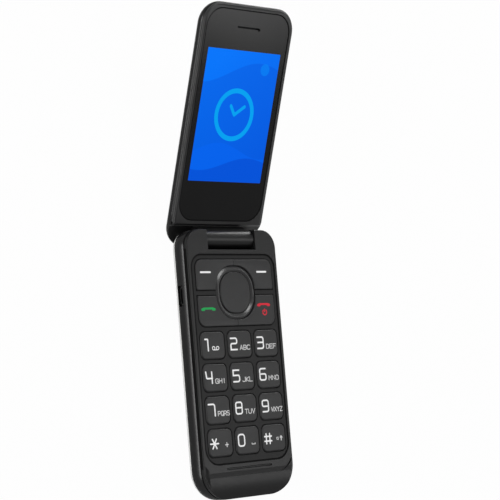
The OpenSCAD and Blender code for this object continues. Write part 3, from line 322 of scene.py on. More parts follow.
def rounded(corners, steps=CORNER_STEPS, closed=True):
    """Outline or path whose corners (x, y, radius) are rounded."""
    out = []
    count = len(corners)
    for i, (x, y, r) in enumerate(corners):
        if r <= 0 or (not closed and i in (0, count - 1)):
            out.append(Vector((x, y)))
            continue
        p = Vector((x, y))
        a = (Vector(corners[i - 1][:2]) - p).normalized()
        b = (Vector(corners[(i + 1) % count][:2]) - p).normalized()
        half = a.angle(b) / 2
        start = p + a * (r / math.tan(half))
        end = p + b * (r / math.tan(half))
        centre = p + (a + b).normalized() * (r / math.sin(half))
        turn = (start - centre).angle_signed(end - centre)
        for k in range(steps + 1):
            spun = start - centre
            spun.rotate(Matrix.Rotation(-turn * k / steps, 2))
            out.append(centre + spun)
    return out


def inset(outline, distance):
    """Outline moved inwards along its normals."""
    count = len(outline)
    area = sum(outline[i - 1].cross(outline[i]) for i in range(count))
    side = 1.0 if area > 0 else -1.0
    out = []
    for i in range(count):
        run = (outline[(i + 1) % count] - outline[i - 1]).normalized()
        out.append(outline[i] + Vector((-run.y, run.x)) * side * distance)
    return out


def rectangle(w, h, r, cx=0.0, cy=0.0):
    return [(cx - w / 2, cy - h / 2, r), (cx + w / 2, cy - h / 2, r),
            (cx + w / 2, cy + h / 2, r), (cx - w / 2, cy + h / 2, r)]


def arc(cx, cy, r, start, end, steps):
    turns = [math.radians(start + (end - start) * k / steps) for k in range(steps + 1)]
    return [(cx + r * math.cos(a), cy + r * math.sin(a)) for a in turns]


def circle(cx, cy, r, steps=CIRCLE_STEPS):
    return [Vector(p) for p in arc(cx, cy, r, 0, 360, steps)[:-1]]


def lifted(points, z):
    return [Vector((p.x, p.y, z)) for p in points]


def bridge(bm, loops, close_last=False):
    """Quads between following loops; the loops have the same count of points."""
    rings = [[bm.verts.new(p) for p in loop] for loop in loops]
    if close_last:
        rings.append(rings[0])
    for low, high in zip(rings, rings[1:]):
        for i in range(len(low)):
            bm.faces.new((low[i - 1], low[i], high[i], high[i - 1]))
    return rings


def capped(bm, loops):
    """Bridge whose first and last loops are closed."""
    rings = bridge(bm, loops)
    bm.faces.new(rings[0])
    bm.faces.new(rings[-1])


def edge_levels(top, radius):
    """Quarter-round from the side wall to the top: pairs of inset and height."""
    out = []
    for k in range(EDGE_STEPS + 1):
        a = math.radians(90.0 * k / EDGE_STEPS)
        out.append((radius * (1 - math.cos(a)), top - radius * (1 - math.sin(a))))
    return out


def end_arc(middle, start):
    """Half a turn about the end of a stroke, without its first and last points."""
    out = []
    for k in range(1, CAP_STEPS):
        spun = start - middle
        spun.rotate(Matrix.Rotation(-math.pi * k / CAP_STEPS, 2))
        out.append(middle + spun)
    return out


def stroke(bm, points, width, low, high, closed=False):
    """Flat printed line of one width, with round ends."""
    count = len(points)
    left, right = [], []
    for i, p in enumerate(points):
        before = points[i - 1] if (i > 0 or closed) else None
        after = points[(i + 1) % count] if (i < count - 1 or closed) else None
        a = (p - before).normalized() if before is not None else (after - p).normalized()
        b = (after - p).normalized() if after is not None else a
        mean = (a + b).normalized()
        normal = Vector((-mean.y, mean.x))
        reach = width / 2 / max(MITRE_LIMIT, math.sqrt(max(0.0, (1 + a.dot(b)) / 2)))
        left.append(p + normal * reach)
        right.append(p - normal * reach)
    if closed:
        tops = [[bm.verts.new((q.x, q.y, high)) for q in side] for side in (left, right)]
        lows = [[bm.verts.new((q.x, q.y, low)) for q in side] for side in (left, right)]
        for i in range(count):
            bm.faces.new((tops[0][i - 1], tops[1][i - 1], tops[1][i], tops[0][i]))
            bm.faces.new((lows[0][i - 1], lows[0][i], lows[1][i], lows[1][i - 1]))
            bm.faces.new((tops[0][i - 1], tops[0][i], lows[0][i], lows[0][i - 1]))
            bm.faces.new((tops[1][i - 1], lows[1][i - 1], lows[1][i], tops[1][i]))
        return
    ring = left + end_arc(points[-1], left[-1]) + right[::-1] + end_arc(points[0], right[0])
    top = [bm.verts.new((q.x, q.y, high)) for q in ring]
    bottom = [bm.verts.new((q.x, q.y, low)) for q in ring]
    bm.faces.new(top)
    bm.faces.new(bottom[::-1])
    for i in range(len(ring)):
        bm.faces.new((top[i - 1], top[i], bottom[i], bottom[i - 1]))


def line(bm, points, width, low, high):
    stroke(bm, [Vector(p) for p in points], width, low, high)


# ---- Legends: strokes on a grid of their own ----
LETTER_W, LETTER_H, LETTER_PITCH, LETTER_STROKE = 1.6, 1.85, 2.1, 0.32
LETTER_GRID_W, LETTER_GRID_H, LETTER_LAYERS = 4, 6, 5
LETTER_X, LETTER_Y = -0.25, -2.35
FULL_WORD, LONG_WORD_FIT = 3, 0.83
DIGIT_W, DIGIT_H, DIGIT_STROKE, DIGIT_STEPS = 3.55, 4.85, 0.68, 5
DIGIT_X, DIGIT_Y = -5.5, -2.2
SIGN_STROKE = 0.66
INK_LOW, INK_RISE, INK_LAYER = 0.12, 0.015, 0.001
LETTERS = {
    "A": [[(0, 0), (2, 6), (4, 0)], [(0.8, 2), (3.2, 2)]],
    "B": [[(0, 0), (0, 6), (3, 6), (4, 5), (4, 4), (3, 3), (0, 3)],
          [(3, 3), (4, 2), (4, 1), (3, 0), (0, 0)]],
    "C": [[(4, 5.3), (3.2, 6), (1, 6), (0, 5), (0, 1), (1, 0), (3.2, 0), (4, 0.7)]],
    "D": [[(0, 0), (0, 6), (2.6, 6), (4, 4.6), (4, 1.4), (2.6, 0), (0, 0)]],
    "E": [[(4, 6), (0, 6), (0, 0), (4, 0)], [(0, 3), (3.2, 3)]],
    "F": [[(4, 6), (0, 6), (0, 0)], [(0, 3), (3.2, 3)]],
    "G": [[(4, 5.3), (3.2, 6), (1, 6), (0, 5), (0, 1), (1, 0), (4, 0), (4, 3), (2.2, 3)]],
    "H": [[(0, 0), (0, 6)], [(4, 0), (4, 6)], [(0, 3), (4, 3)]],
    "I": [[(2, 0), (2, 6)]],
    "J": [[(4, 6), (4, 1), (3, 0), (1, 0), (0, 1)]],
    "K": [[(0, 0), (0, 6)], [(4, 6), (0, 3), (4, 0)]],
    "L": [[(0, 6), (0, 0), (4, 0)]],
    "M": [[(0, 0), (0, 6), (2, 2.5), (4, 6), (4, 0)]],
    "N": [[(0, 0), (0, 6), (4, 0), (4, 6)]],
    "O": [[(1, 0), (3, 0), (4, 1), (4, 5), (3, 6), (1, 6), (0, 5), (0, 1), (1, 0)]],
    "P": [[(0, 0), (0, 6), (3, 6), (4, 5), (4, 3.6), (3, 2.6), (0, 2.6)]],
    "Q": [[(1, 0), (3, 0), (4, 1), (4, 5), (3, 6), (1, 6), (0, 5), (0, 1), (1, 0)],
          [(2.6, 1.6), (4.2, -0.3)]],
    "R": [[(0, 0), (0, 6), (3, 6), (4, 5), (4, 3.6), (3, 2.6), (0, 2.6)], [(2, 2.6), (4, 0)]],
    "S": [[(4, 5.3), (3.2, 6), (1, 6), (0, 5.1), (0, 3.8), (1, 3), (3, 3), (4, 2.2), (4, 0.9),
           (3, 0), (0.8, 0), (0, 0.7)]],
    "T": [[(0, 6), (4, 6)], [(2, 6), (2, 0)]],
    "U": [[(0, 6), (0, 1), (1, 0), (3, 0), (4, 1), (4, 6)]],
    "V": [[(0, 6), (2, 0), (4, 6)]],
    "W": [[(0, 6), (1, 0), (2, 4), (3, 0), (4, 6)]],
    "X": [[(0, 0), (4, 6)], [(0, 6), (4, 0)]],
    "Y": [[(0, 6), (2, 3), (4, 6)], [(2, 3), (2, 0)]],
    "Z": [[(0, 6), (4, 6), (0, 0), (4, 0)]],
}
# Digits: (closed, [(x, y, corner radius)]) in shares of the digit's width and height
DIGITS = {
    "1": [(False, [(0.28, 1, 0), (0.72, 1, 0.4), (0.72, 0, 0)])],
    "2": [(False, [(0, 1, 0), (1, 1, 0.9), (1, 0.53, 0.7), (0, 0.53, 0.7), (0, 0, 0), (1, 0, 0)])],
    "3": [(False, [(0, 1, 0), (1, 1, 0.9), (1, 0, 0.9), (0, 0, 0)]),
          (False, [(0.1, 0.53, 0), (0.97, 0.53, 0)])],
    "4": [(False, [(0, 1, 0), (0.1, 0.42, 0.5), (1, 0.42, 0)]),
          (False, [(0.95, 0.97, 0), (0.95, 0, 0)])],
    "5": [(False, [(0.95, 1, 0), (0, 1, 0), (0, 0.55, 0), (1, 0.55, 0.8), (1, 0, 0.9), (0, 0, 0)])],
    "6": [(False, [(0.95, 1, 0), (0, 1, 0.9), (0, 0, 0.9), (1, 0, 0.9), (1, 0.53, 0.8),
                   (0.03, 0.53, 0)])],
    "7": [(False, [(0, 1, 0), (1, 1, 0.9), (1, 0, 0)])],
    "8": [(True, [(0, 0, 0.9), (1, 0, 0.9), (1, 1, 0.9), (0, 1, 0.9)]),
          (False, [(0.05, 0.53, 0), (0.95, 0.53, 0)])],
    "9": [(False, [(0.97, 0.47, 0), (0, 0.47, 0.8), (0, 1, 0.9), (1, 1, 0.9), (1, 0, 0.9),
                   (0.05, 0, 0)])],
    "0": [(True, [(0, 0, 1.15), (1, 0, 1.15), (1, 1, 1.15), (0, 1, 1.15)])],
}


class Ink:
    """Print on a key's top; strokes that cross lie on layers, each a little lower."""

    def __init__(self):
        self.bm = bmesh.new()

    def path(self, points, width, layer=0, closed=False):
        stroke(self.bm, [Vector(p) for p in points], width, KEY_TOP - INK_LOW,
               KEY_TOP + INK_RISE - INK_LAYER * layer, closed)


def print_mark(name, body, look, draw, *place):
    ink = Ink()
    draw(ink, *place)
    add_piece(name, ink.bm, look, body, BASE)


def draw_digit(ink, x, y, digit):
    for n, (closed, path) in enumerate(DIGITS[digit]):
        corners = [(x + px * DIGIT_W, y + py * DIGIT_H, r) for px, py, r in path]
        ink.path(rounded(corners, DIGIT_STEPS, closed), DIGIT_STROKE, 2 * n, closed)


def draw_letters(ink, x, y, word):
    layer = 0
    fit = LONG_WORD_FIT if len(word) > FULL_WORD else 1.0
    for letter in word:
        for path in LETTERS[letter]:
            points = [(x + px / LETTER_GRID_W * LETTER_W * fit, y + py / LETTER_GRID_H * LETTER_H)
                      for px, py in path]
            ink.path(points, LETTER_STROKE, layer)
            layer = (layer + 1) % LETTER_LAYERS
        x += LETTER_PITCH * fit


def draw_star(ink, x, y):
    reach = 2.25
    for n, angle in enumerate((0, 60, 120)):
        a = math.radians(angle)
        dx, dy = reach * math.cos(a), reach * math.sin(a)
        ink.path([(x - dx, y - dy), (x + dx, y + dy)], SIGN_STROKE, 2 * n)


def draw_hash(ink, x, y):
    half_w, half_h, gap_x, gap_y = 2.05, 2.15, 1.05, 1.0
    for s in (-1, 1):
        ink.path([(x - half_w, y + s * gap_y), (x + half_w, y + s * gap_y)], SIGN_STROKE)
        ink.path([(x + s * gap_x, y - half_h), (x + s * gap_x, y + half_h)], SIGN_STROKE, 3)


def draw_plus(ink, x, y):
    half, width = 0.85, 0.42
    ink.path([(x - half, y), (x + half, y)], width)
    ink.path([(x, y - half), (x, y + half)], width, 2)


def draw_space(ink, x, y):
    half, rise, width = 0.95, 0.45, 0.34
    ink.path([(x - half, y + rise), (x - half, y), (x + half, y), (x + half, y + rise)], width)


def draw_voicemail(ink, x, y):
    half, r, width = 1.15, 0.72, 0.36
    for s in (-1, 1):
        ink.path(circle(x + s * half, y, r), width, closed=True)
    ink.path([(x - half, y - r), (x + half, y - r)], width, 2)


def draw_shift(ink, x, y):
    """Small letter a and an upward arrow: the key's case switch."""
    bowl_x, bowl_r, bowl_steps, stem_x, stem_half, thin = -1.1, 0.5, 18, -0.58, 0.55, 0.28
    arrow_x, foot, neck, barb, tip, spread = 1.2, -0.85, 0.7, 0.25, 0.95, 0.65
    shaft_w, head_w = 0.5, 0.42
    ink.path(circle(x + bowl_x, y, bowl_r, bowl_steps), thin, closed=True)
    ink.path([(x + stem_x, y + stem_half), (x + stem_x, y - stem_half)], thin, 2)
    at = x + arrow_x
    ink.path([(at, y + foot), (at, y + neck)], shaft_w)
    ink.path([(at - spread, y + barb), (at, y + tip), (at + spread, y + barb)], head_w, 2)


def draw_dash(ink, y, start, end):
    width = 0.8
    ink.path([(start, y), (end, y)], width)


def draw_handset(ink, x, y, half):
    """Telephone handset seen from the side: a bar with two cups."""
    dip, bend, bar_w = 0.35, 0.72, 0.85
    cup_out, cup_in, cup_drop, cup_w = 0.98, 0.66, 0.15, 0.9
    ink.path([(x - half, y - dip), (x - half * bend, y), (x + half * bend, y),
              (x + half, y - dip)], bar_w)
    low = y - dip - cup_drop
    for s in (-1, 1):
        ink.path([(x + s * half * cup_out, low), (x + s * half * cup_in, low)], cup_w, 2)


def draw_power(ink, x, y):
    r, start, end, steps, foot, tip, width = 1.15, 130, 410, 14, 0.2, 1.35, 0.5
    ink.path(arc(x, y, r, start, end, steps), width)
    ink.path([(x, y + foot), (x, y + tip)], width, 2)


# ---- Number keys ----
KEYS = [
    ("key_1", "1", ""), ("key_2", "2", "ABC"), ("key_3", "3", "DEF"), ("key_4", "4", "GHI"),
    ("key_5", "5", "JKL"), ("key_6", "6", "MNO"), ("key_7", "7", "PQRS"), ("key_8", "8", "TUV"),
    ("key_9", "9", "WXYZ"), ("key_star", "*", ""), ("key_0", "0", ""), ("key_hash", "#", ""),
]
# Signs of a key: end of the piece's name, look, drawing, and its place from the key's middle
SIGNS = {
    "1": [("_voicemail", "ink", draw_voicemail, 1.3, -1.2)],
    "*": [("_mark", "ink", draw_star, -3.6, -0.2), ("_plus", "ink_soft", draw_plus, 3.4, -1.0)],
    "0": [("_space", "ink_soft", draw_space, 3.2, -1.8)],
    "#": [("_mark", "ink", draw_hash, -3.7, -0.2), ("_shift", "ink_soft", draw_shift, 3.0, -0.4)],
}
KEY_SPOTS = [(KEY_DX * (i % 3 - 1), FIRST_KEY_Y - KEY_DY * (i // 3)) for i in range(len(KEYS))]
KEY_EDGE, KEY_CROWN = 0.5, 0.07
KEY_DOME, KEY_DOME_POWER = (0.93, 0.8, 0.6, 0.35), 2.5


def keycap(name, cx, cy):
    """Moulded cap: flange under the plate, rounded top edge and a domed top."""
    outline = rounded(rectangle(KEY_W, KEY_H, KEY_R, cx, cy))
    levels = [(-FLANGE, FLANGE_LOW), (-FLANGE, FLANGE_TOP), (0.0, FLANGE_TOP)]
    levels += edge_levels(KEY_TOP - KEY_CROWN, KEY_EDGE)
    loops = [lifted(inset(outline, i), z) for i, z in levels]
    middle, last = Vector((cx, cy)), inset(outline, KEY_EDGE)
    for s in KEY_DOME:
        loops.append(lifted([middle + (p - middle) * s for p in last],
                            KEY_TOP - KEY_CROWN * s ** KEY_DOME_POWER))
    bm = bmesh.new()
    rings = bridge(bm, loops)
    bm.faces.new(rings[0])
    tip = bm.verts.new((cx, cy, KEY_TOP))
    for i in range(len(rings[-1])):
        bm.faces.new((rings[-1][i - 1], rings[-1][i], tip))
    add_piece(name + "_cap", bm, "key", name, BASE, (name,))


for (name, mark, word), (cx, cy) in zip(KEYS, KEY_SPOTS):
    keycap(name, cx, cy)
    if mark in DIGITS:
        print_mark(name + "_mark", name, "ink", draw_digit, cx + DIGIT_X, cy + DIGIT_Y, mark)
    if word:
        print_mark(name + "_letters", name, "ink_soft", draw_letters, cx + LETTER_X,
                   cy + LETTER_Y, word)
    for ending, look, draw, dx, dy in SIGNS.get(mark, ()):
        print_mark(name + ending, name, look, draw, cx + dx, cy + dy)

# ---- Navigation cluster ----
SIDE_KEYS = [
    ("softkey_left", -1, 1), ("softkey_right", 1, 1), ("send_key", -1, -1), ("end_key", 1, -1),
]
RING_ARC_STEPS, RING_STEPS, SQUARE_STEPS = 24, 12, 14
ARC_CENTRE, ARC_REACH = RING_W / 2 - RING_R, RING_R + NAV_GAP
SPLIT_X, SPLIT_LEAN, HEEL_R, PAD_EDGE, PAD_LAP = 0.03, 0.2, 0.7, 0.3, 0.02


def side_outline(sx, sy, shrink):
    """Pad beside the ring in one quarter of the cluster, moved inwards by shrink."""
    reach = ARC_REACH + shrink
    low = DIVIDER_H / 2 + shrink
    split = SPLIT_X + SPLIT_LEAN * shrink
    high, wide = NAV_HALF_H - shrink, NAV_HALF_W - shrink
    corner, heel = NAV_R - shrink, HEEL_R - shrink
    end = math.degrees(math.asin(max(0.0, low - ARC_CENTRE) / reach))
    points = arc(wide - corner, high - corner, corner, 0, 90, CORNER_STEPS)
    points += [(split, high), (split, ARC_CENTRE + reach)]
    points += arc(ARC_CENTRE, ARC_CENTRE, reach, 90, end, RING_ARC_STEPS)
    points += [(ARC_CENTRE + reach * math.cos(math.radians(end)), low)]
    points += arc(wide - heel, low + heel, heel, -90, 0, CORNER_STEPS)
    return [Vector((sx * x, NAV_Y + sy * y)) for x, y in points]


for name, sx, sy in SIDE_KEYS:
    bm = bmesh.new()
    levels = [(-PAD_LAP, FLANGE_TOP)] + edge_levels(KEY_TOP, PAD_EDGE)
    capped(bm, [lifted(side_outline(sx, sy, i), z) for i, z in levels])
    add_piece(name + "_cap", bm, "key", name, BASE, (name,))

DASH_Y = -14.6
print_mark("softkey_left_dash", "softkey_left", "ink", draw_dash, DASH_Y, -19.7, -14.2)
print_mark("softkey_right_dash", "softkey_right", "ink", draw_dash, DASH_Y, 13.5, 18.8)
print_mark("send_key_mark", "send_key", "green", draw_handset, -16.85, -30.0, 3.7)
print_mark("end_key_mark", "end_key", "red", draw_handset, 15.95, -28.7, 3.5)
print_mark("end_key_power", "end_key", "red", draw_power, 16.3, -32.2)


def square_loop(w, r):
    return rounded(rectangle(w, w, r, 0.0, NAV_Y), SQUARE_STEPS)


# Rocker ring: crowned band with a soft outer edge and a slope down to the centre key
RING_DROP, RING_POWER, RING_LIP, RING_SMOOTH = 0.48, 1.2, 0.5, 50
bm = bmesh.new()
profile = [(0.0, RING_LOW)]
for k in range(RING_STEPS + 1):
    drop = RING_DROP * abs(2 * k / RING_STEPS - 1) ** RING_POWER
    profile.append((RING_BAND * k / RING_STEPS, RING_TOP - drop))
profile += [(RING_BAND, RING_RECESS), (RING_BAND - RING_LIP, RING_RECESS),
            (RING_BAND - RING_LIP, RING_LOW)]
bridge(bm, [lifted(square_loop(RING_W - 2 * i, RING_R - i), z) for i, z in profile], True)
add_piece("nav_ring_band", bm, "ring", "nav_ring", BASE, ("nav_ring",), RING_SMOOTH)

# Centre key: gently domed
OK_EDGE, OK_CROWN, OK_LIP_W, OK_LIP_R = 0.35, 0.12, 0.7, 0.3
OK_DOME, OK_DOME_POWER = (0.92, 0.8, 0.62, 0.4, 0.2), 2.2
bm = bmesh.new()
lip = square_loop(OK_W + OK_LIP_W, OK_R + OK_LIP_R)
loops = [lifted(lip, OK_LOW), lifted(lip, OK_FLANGE_TOP),
         lifted(square_loop(OK_W, OK_R), OK_FLANGE_TOP)]
for i, z in edge_levels(RING_TOP - OK_CROWN, OK_EDGE):
    loops.append(lifted(square_loop(OK_W - 2 * i, OK_R - i), z))
for s in OK_DOME:
    loops.append(lifted(square_loop((OK_W - 2 * OK_EDGE) * s, (OK_R - OK_EDGE) * s),
                        RING_TOP - OK_CROWN * s ** OK_DOME_POWER))
capped(bm, loops)
add_piece("ok_key_cap", bm, "ok", "ok_key", BASE, ("ok_key",))

# ---- Lit picture on the display: a generic wallpaper with a clock face ----
DRIFT_X, DRIFT_Y, DRIFT_LOW, DRIFT_HIGH = 0.62, -0.78, -68.0, -16.0
PALE_BLUE, DEEP_BLUE = (0.0, 0.185, 1.0, 1.0), (0.0, 0.115, 0.82, 1.0)
# level, height, length and phase of each wave, its share and its colour
WAVES = (
    (71.5, 5.0, 11.0, 0.6, 0.45, (0.0, 0.095, 0.72, 1.0)),
    (38.0, 3.2, 8.0, 2.4, 0.7, (0.0, 0.13, 0.90, 1.0)),
    (32.0, 3.0, 9.0, 0.3, 0.6, (0.0, 0.065, 0.62, 1.0)),
)
WAVE_SOFT = 0.2
MOON_X, MOON_Y, MOON_R, MOON_SOFT = 13.5, 74.0, 2.6, 0.15
MOON_SHARE, MOON_BLUE = 0.5, (0.0, 0.27, 1.0, 1.0)
CLOCK_BLUE, CLOCK_DRIFT = (0.0, 0.38, 0.93, 1.0), 0.97
CLOCK_SCALE, CLOCK_DETAIL = 30.0, 1.0
PICTURE_GLOW, CLOCK_GLOW = 0.96, 0.95
UNLIT, UNLIT_ROUGH, UNLIT_SPECULAR = (0.001, 0.002, 0.004, 1.0), 0.3, 0.02
PICTURE_LOW, PICTURE_HIGH, CLOCK_HIGH = WINDOW_Z - 0.03, WINDOW_Z + 0.012, WINDOW_Z + 0.02
PICTURE_R, PICTURE_STEPS = 0.15, 2
CLOCK_X, CLOCK_Y, CLOCK_R, CLOCK_STROKE, CLOCK_STEPS = -0.6, 53.6, 10.4, 2.1, 72
# angle and length of each hand; the lift by its angle keeps the two apart
HANDS, HAND_STROKE, HAND_LIFT = ((125, 4.6), (35, 6.6)), 1.5, 0.0005 / 35


def unlit(look, strength):
    """Near black under the light that the display gives by itself."""
    look.put(Base_Color=UNLIT, Roughness=UNLIT_ROUGH, Specular_IOR_Level=UNLIT_SPECULAR,
             Emission_Strength=strength)


def lit_picture():
    """Slow drift from the lighter upper left to the deeper lower right, waves and a moon."""
    look = Look("lit_picture")
    x, y, _ = look.place(LID)
    drift = look.math("MULTIPLY_ADD", y, DRIFT_Y, look.math("MULTIPLY", x, DRIFT_X))
    colour = look.mix(look.span(drift, DRIFT_LOW, DRIFT_HIGH), PALE_BLUE, DEEP_BLUE)
    for level, height, length, phase, share, tone in WAVES:
        turn = look.math("MULTIPLY_ADD", x, 1 / length, phase)
        edge = look.math("MULTIPLY_ADD", look.math("SINE", turn), height, level)
        under = look.span(look.math("SUBTRACT", edge, y), -WAVE_SOFT, WAVE_SOFT)
        colour = look.mix(look.math("MULTIPLY", under, share), colour, tone)
    dx, dy = look.math("SUBTRACT", x, MOON_X), look.math("SUBTRACT", y, MOON_Y)
    square = look.math("MULTIPLY_ADD", dy, dy, look.math("MULTIPLY", dx, dx))
    moon = look.span(look.math("POWER", square, 0.5), MOON_R + MOON_SOFT, MOON_R - MOON_SOFT)
    colour = look.mix(look.math("MULTIPLY", moon, MOON_SHARE), colour, MOON_BLUE)
    look.put(Emission_Color=colour)
    unlit(look, PICTURE_GLOW)
    return look


def lit_clock():
    look = Look("lit_clock")
    dimmer = tuple(c * CLOCK_DRIFT for c in CLOCK_BLUE[:3]) + (1.0,)
    look.put(Emission_Color=look.mix(look.noise(CLOCK_SCALE, CLOCK_DETAIL), CLOCK_BLUE, dimmer))
    unlit(look, CLOCK_GLOW)
    return look


LOOKS["picture"] = lit_picture()
LOOKS["glow"] = lit_clock()
bm = bmesh.new()
screen = rounded(rectangle(SCREEN_W, SCREEN_H, PICTURE_R, 0.0, SCREEN_Y), PICTURE_STEPS)
capped(bm, [lifted(screen, PICTURE_LOW), lifted(screen, PICTURE_HIGH)])
add_piece("display_picture", bm, "picture", "lid", LID)

bm = bmesh.new()
face = circle(CLOCK_X, CLOCK_Y, CLOCK_R, CLOCK_STEPS)
stroke(bm, face, CLOCK_STROKE, PICTURE_LOW, CLOCK_HIGH, True)
for angle, reach in HANDS:
    a = math.radians(angle)
    tip = (CLOCK_X + reach * math.cos(a), CLOCK_Y + reach * math.sin(a))
    line(bm, [(CLOCK_X, CLOCK_Y), tip], HAND_STROKE, PICTURE_LOW, CLOCK_HIGH + HAND_LIFT * angle)
add_piece("display_clock", bm, "glow", "lid", LID)

# ---- Dark seams: near-black strips on seams and window edges, painted shade for the shadow in the gaps ----
SEAM_SINK, SEAM_RISE, SEAM_LAP, SEAM_LAYER = 0.05, 0.012, 0.02, 0.001


def plan(w, y0, y1, r0, r1):
    """Outline as the halves have it: corner radius r0 at y0 and r1 at y1."""
    return [(-w / 2, y0, r0), (w / 2, y0, r0), (w / 2, y1, r1), (-w / 2, y1, r1)]


def seam(bm, outline, outer, inner, level):
    """Flat ring between two insets of an outline, on a face at the level."""
    low, high = level - SEAM_SINK, level + SEAM_RISE
    bridge(bm, [lifted(inset(outline, outer), low), lifted(inset(outline, outer), high),
                lifted(inset(outline, inner), high), lifted(inset(outline, inner), low)], True)


# Painted shade: near-black rings on the plate's edge and round its windows, for the shadow in the
# gaps
PLATE_HALF, PLATE_LOW_Y, PLATE_HIGH_Y, PLATE_Z = 24.8, -95.95, -6.7, 4.5
PLATE_LOW_R, PLATE_R, PLATE_STEPS, PLATE_EDGE_W = 7.5, 6.0, 10, 0.72
KEY_GAP, EDGE_W, RING_CLEAR = 0.2, 0.26, 0.1
bm = bmesh.new()
plate = plan(2 * PLATE_HALF, PLATE_LOW_Y, PLATE_HIGH_Y, PLATE_LOW_R, PLATE_R)
seam(bm, rounded(plate, PLATE_STEPS), SEAM_LAP, PLATE_EDGE_W, PLATE_Z)
for cx, cy in KEY_SPOTS:
    hole = rectangle(KEY_W + 2 * KEY_GAP, KEY_H + 2 * KEY_GAP, KEY_R + KEY_GAP, cx, cy)
    seam(bm, rounded(hole), -EDGE_W, 0.0, PLATE_Z)
for _, sx, sy in SIDE_KEYS:
    # outer edges of the cluster's windows, from the split to the ring
    high, wide, low = NAV_HALF_H + KEY_GAP, NAV_HALF_W + KEY_GAP, DIVIDER_H / 2 - KEY_GAP
    corner = NAV_R + KEY_GAP
    path = [(ARC_CENTRE + ARC_REACH + RING_CLEAR, low), (wide, low)]
    path += arc(wide - corner, high - corner, corner, 0, 90, CORNER_STEPS) + [(0.0, high)]
    middle = [Vector((sx * px, NAV_Y + sy * py)) for px, py in path]
    stroke(bm, middle, 2 * EDGE_W, PLATE_Z - SEAM_SINK,
           PLATE_Z + SEAM_RISE + SEAM_LAYER * (1 + sx + (1 + sy) / 2))
add_piece("plate_edge_shade", bm, "hole", "base", BASE)

# Painted shade: a near-black strip on the front cover's side wall above the side band, for the
# shadow of a groove; open at the hinge notch
BODY_W, CHIN_END, BASE_END, CHIN_R, END_R, STEP_IN = 53.0, -110.5, 4.0, 13.0, 8.0, 0.2
BAND_TOP, CHIN_GROOVE_TOP, GROOVE_TOP, GROOVE_DIP = 2.65, 3.1, 4.15, 0.1
GROOVE_STEPS, GROOVE_OUT, GROOVE_IN, GROOVE_W, GROOVE_END = 12, 0.06, 0.02, 0.08, 0.5
bm = bmesh.new()
groove_plan = rounded(plan(BODY_W, CHIN_END, BASE_END, CHIN_R, END_R), GROOVE_STEPS)
first = 3 * (GROOVE_STEPS + 1)
groove_path = [Vector((-NOTCH_HALF, BASE_END))] + groove_plan[first:] + groove_plan[:first]
groove_path.append(Vector((NOTCH_HALF, BASE_END)))
outer, inner = (inset(groove_path, STEP_IN + d) for d in (-GROOVE_OUT, GROOVE_IN))
capped(bm, [[Vector((p.x, p.y, BAND_TOP)), Vector((p.x, p.y, CHIN_GROOVE_TOP)),
             Vector((q.x, q.y, CHIN_GROOVE_TOP)), Vector((q.x, q.y, BAND_TOP))]
            for p, q in zip(outer, inner)])
for s_x in (-1, 1):
    x = s_x * (BODY_W / 2 - STEP_IN + GROOVE_IN)
    line(bm, [(x, CHIN_END + CHIN_R + GROOVE_END), (x, BASE_END - END_R - GROOVE_END)],
         GROOVE_W, CHIN_GROOVE_TOP - GROOVE_DIP, GROOVE_TOP)
add_piece("cover_groove_shade", bm, "hole", "base", BASE)

# Floor of the hinge notch, under the knuckle, near black as painted shade of the gap: heights above
# the back
SHELF_HALF_W = 14.08
SHELF = [(-4.92, 0.45), (-4.92, 1.1), (-4.2, 1.1), (-3.3, 0.95), (-3.0, 0.7), (-3.0, 0.45)]
bm = bmesh.new()
capped(bm, [[Vector((x, y, BACK_Z + rise)) for y, rise in SHELF]
            for x in (-SHELF_HALF_W, SHELF_HALF_W)])
add_piece("notch_floor_shade", bm, "hole", "base", BASE)

# Lining of the microphone slot: insets and depths under its floor
MIC_Y, MIC_L, MIC_W, MIC_SINK, MIC_ROUND, MIC_STEPS = -97.8, 26.7, 0.8, 0.3, 0.01, 6
MIC_LINING = [(0.0, 0.5), (0.0, 0.12), (0.1, 0.03), (0.25, 0.0)]
bm = bmesh.new()
lining = []
for i, depth in MIC_LINING:
    slot = rectangle(MIC_L - 2 * i, MIC_W - 2 * i, MIC_W / 2 - MIC_ROUND - i, 0.0, MIC_Y)
    lining.append(lifted(rounded(slot, MIC_STEPS), FRONT_Z - MIC_SINK - depth))
capped(bm, lining)
add_piece("mic_slot_lining", bm, "shell", "base", BASE)

# Softened edge of the lid, filling the step between its side band and its front frame
LID_TOP, LID_TOP_R, LID_STEP, LID_STEP_LOW, LID_STEP_Y = 100.7, 10.0, 0.5, -6.04, 6.4
BEAD_OUT, BEAD_IN, BEAD_FOOT, BEAD_RISE, BEAD_STEPS, LID_STEPS = 0.02, 0.1, 0.1, 0.82, 6, 12
bm = bmesh.new()
half, corner = BODY_W / 2, LID_TOP_R
path = [(half, LID_STEP_Y)]
path += arc(half - corner, LID_TOP - corner, corner, 0, 90, LID_STEPS)
path += arc(corner - half, LID_TOP - corner, corner, 90, 180, LID_STEPS)
path = [Vector(q) for q in path + [(-half, LID_STEP_Y)]]
bead = [(BEAD_OUT, LID_STEP_LOW)]
for k in range(BEAD_STEPS + 1):
    a = math.radians(90 * k / BEAD_STEPS)
    bead.append((BEAD_OUT + (LID_STEP - BEAD_OUT) * (1 - math.cos(a)),
                 LID_STEP_LOW + BEAD_FOOT + BEAD_RISE * math.sin(a)))
bead += [(LID_STEP + BEAD_IN, LID_STEP_LOW + BEAD_FOOT + BEAD_RISE),
         (LID_STEP + BEAD_IN, LID_STEP_LOW)]
sections = []
for i, q in enumerate(path):
    run = (path[min(i + 1, len(path) - 1)] - path[max(i - 1, 0)]).normalized()
    inward = Vector((-run.y, run.x))
    sections.append([Vector((*(q + inward * d), z)) for d, z in bead])
capped(bm, sections)
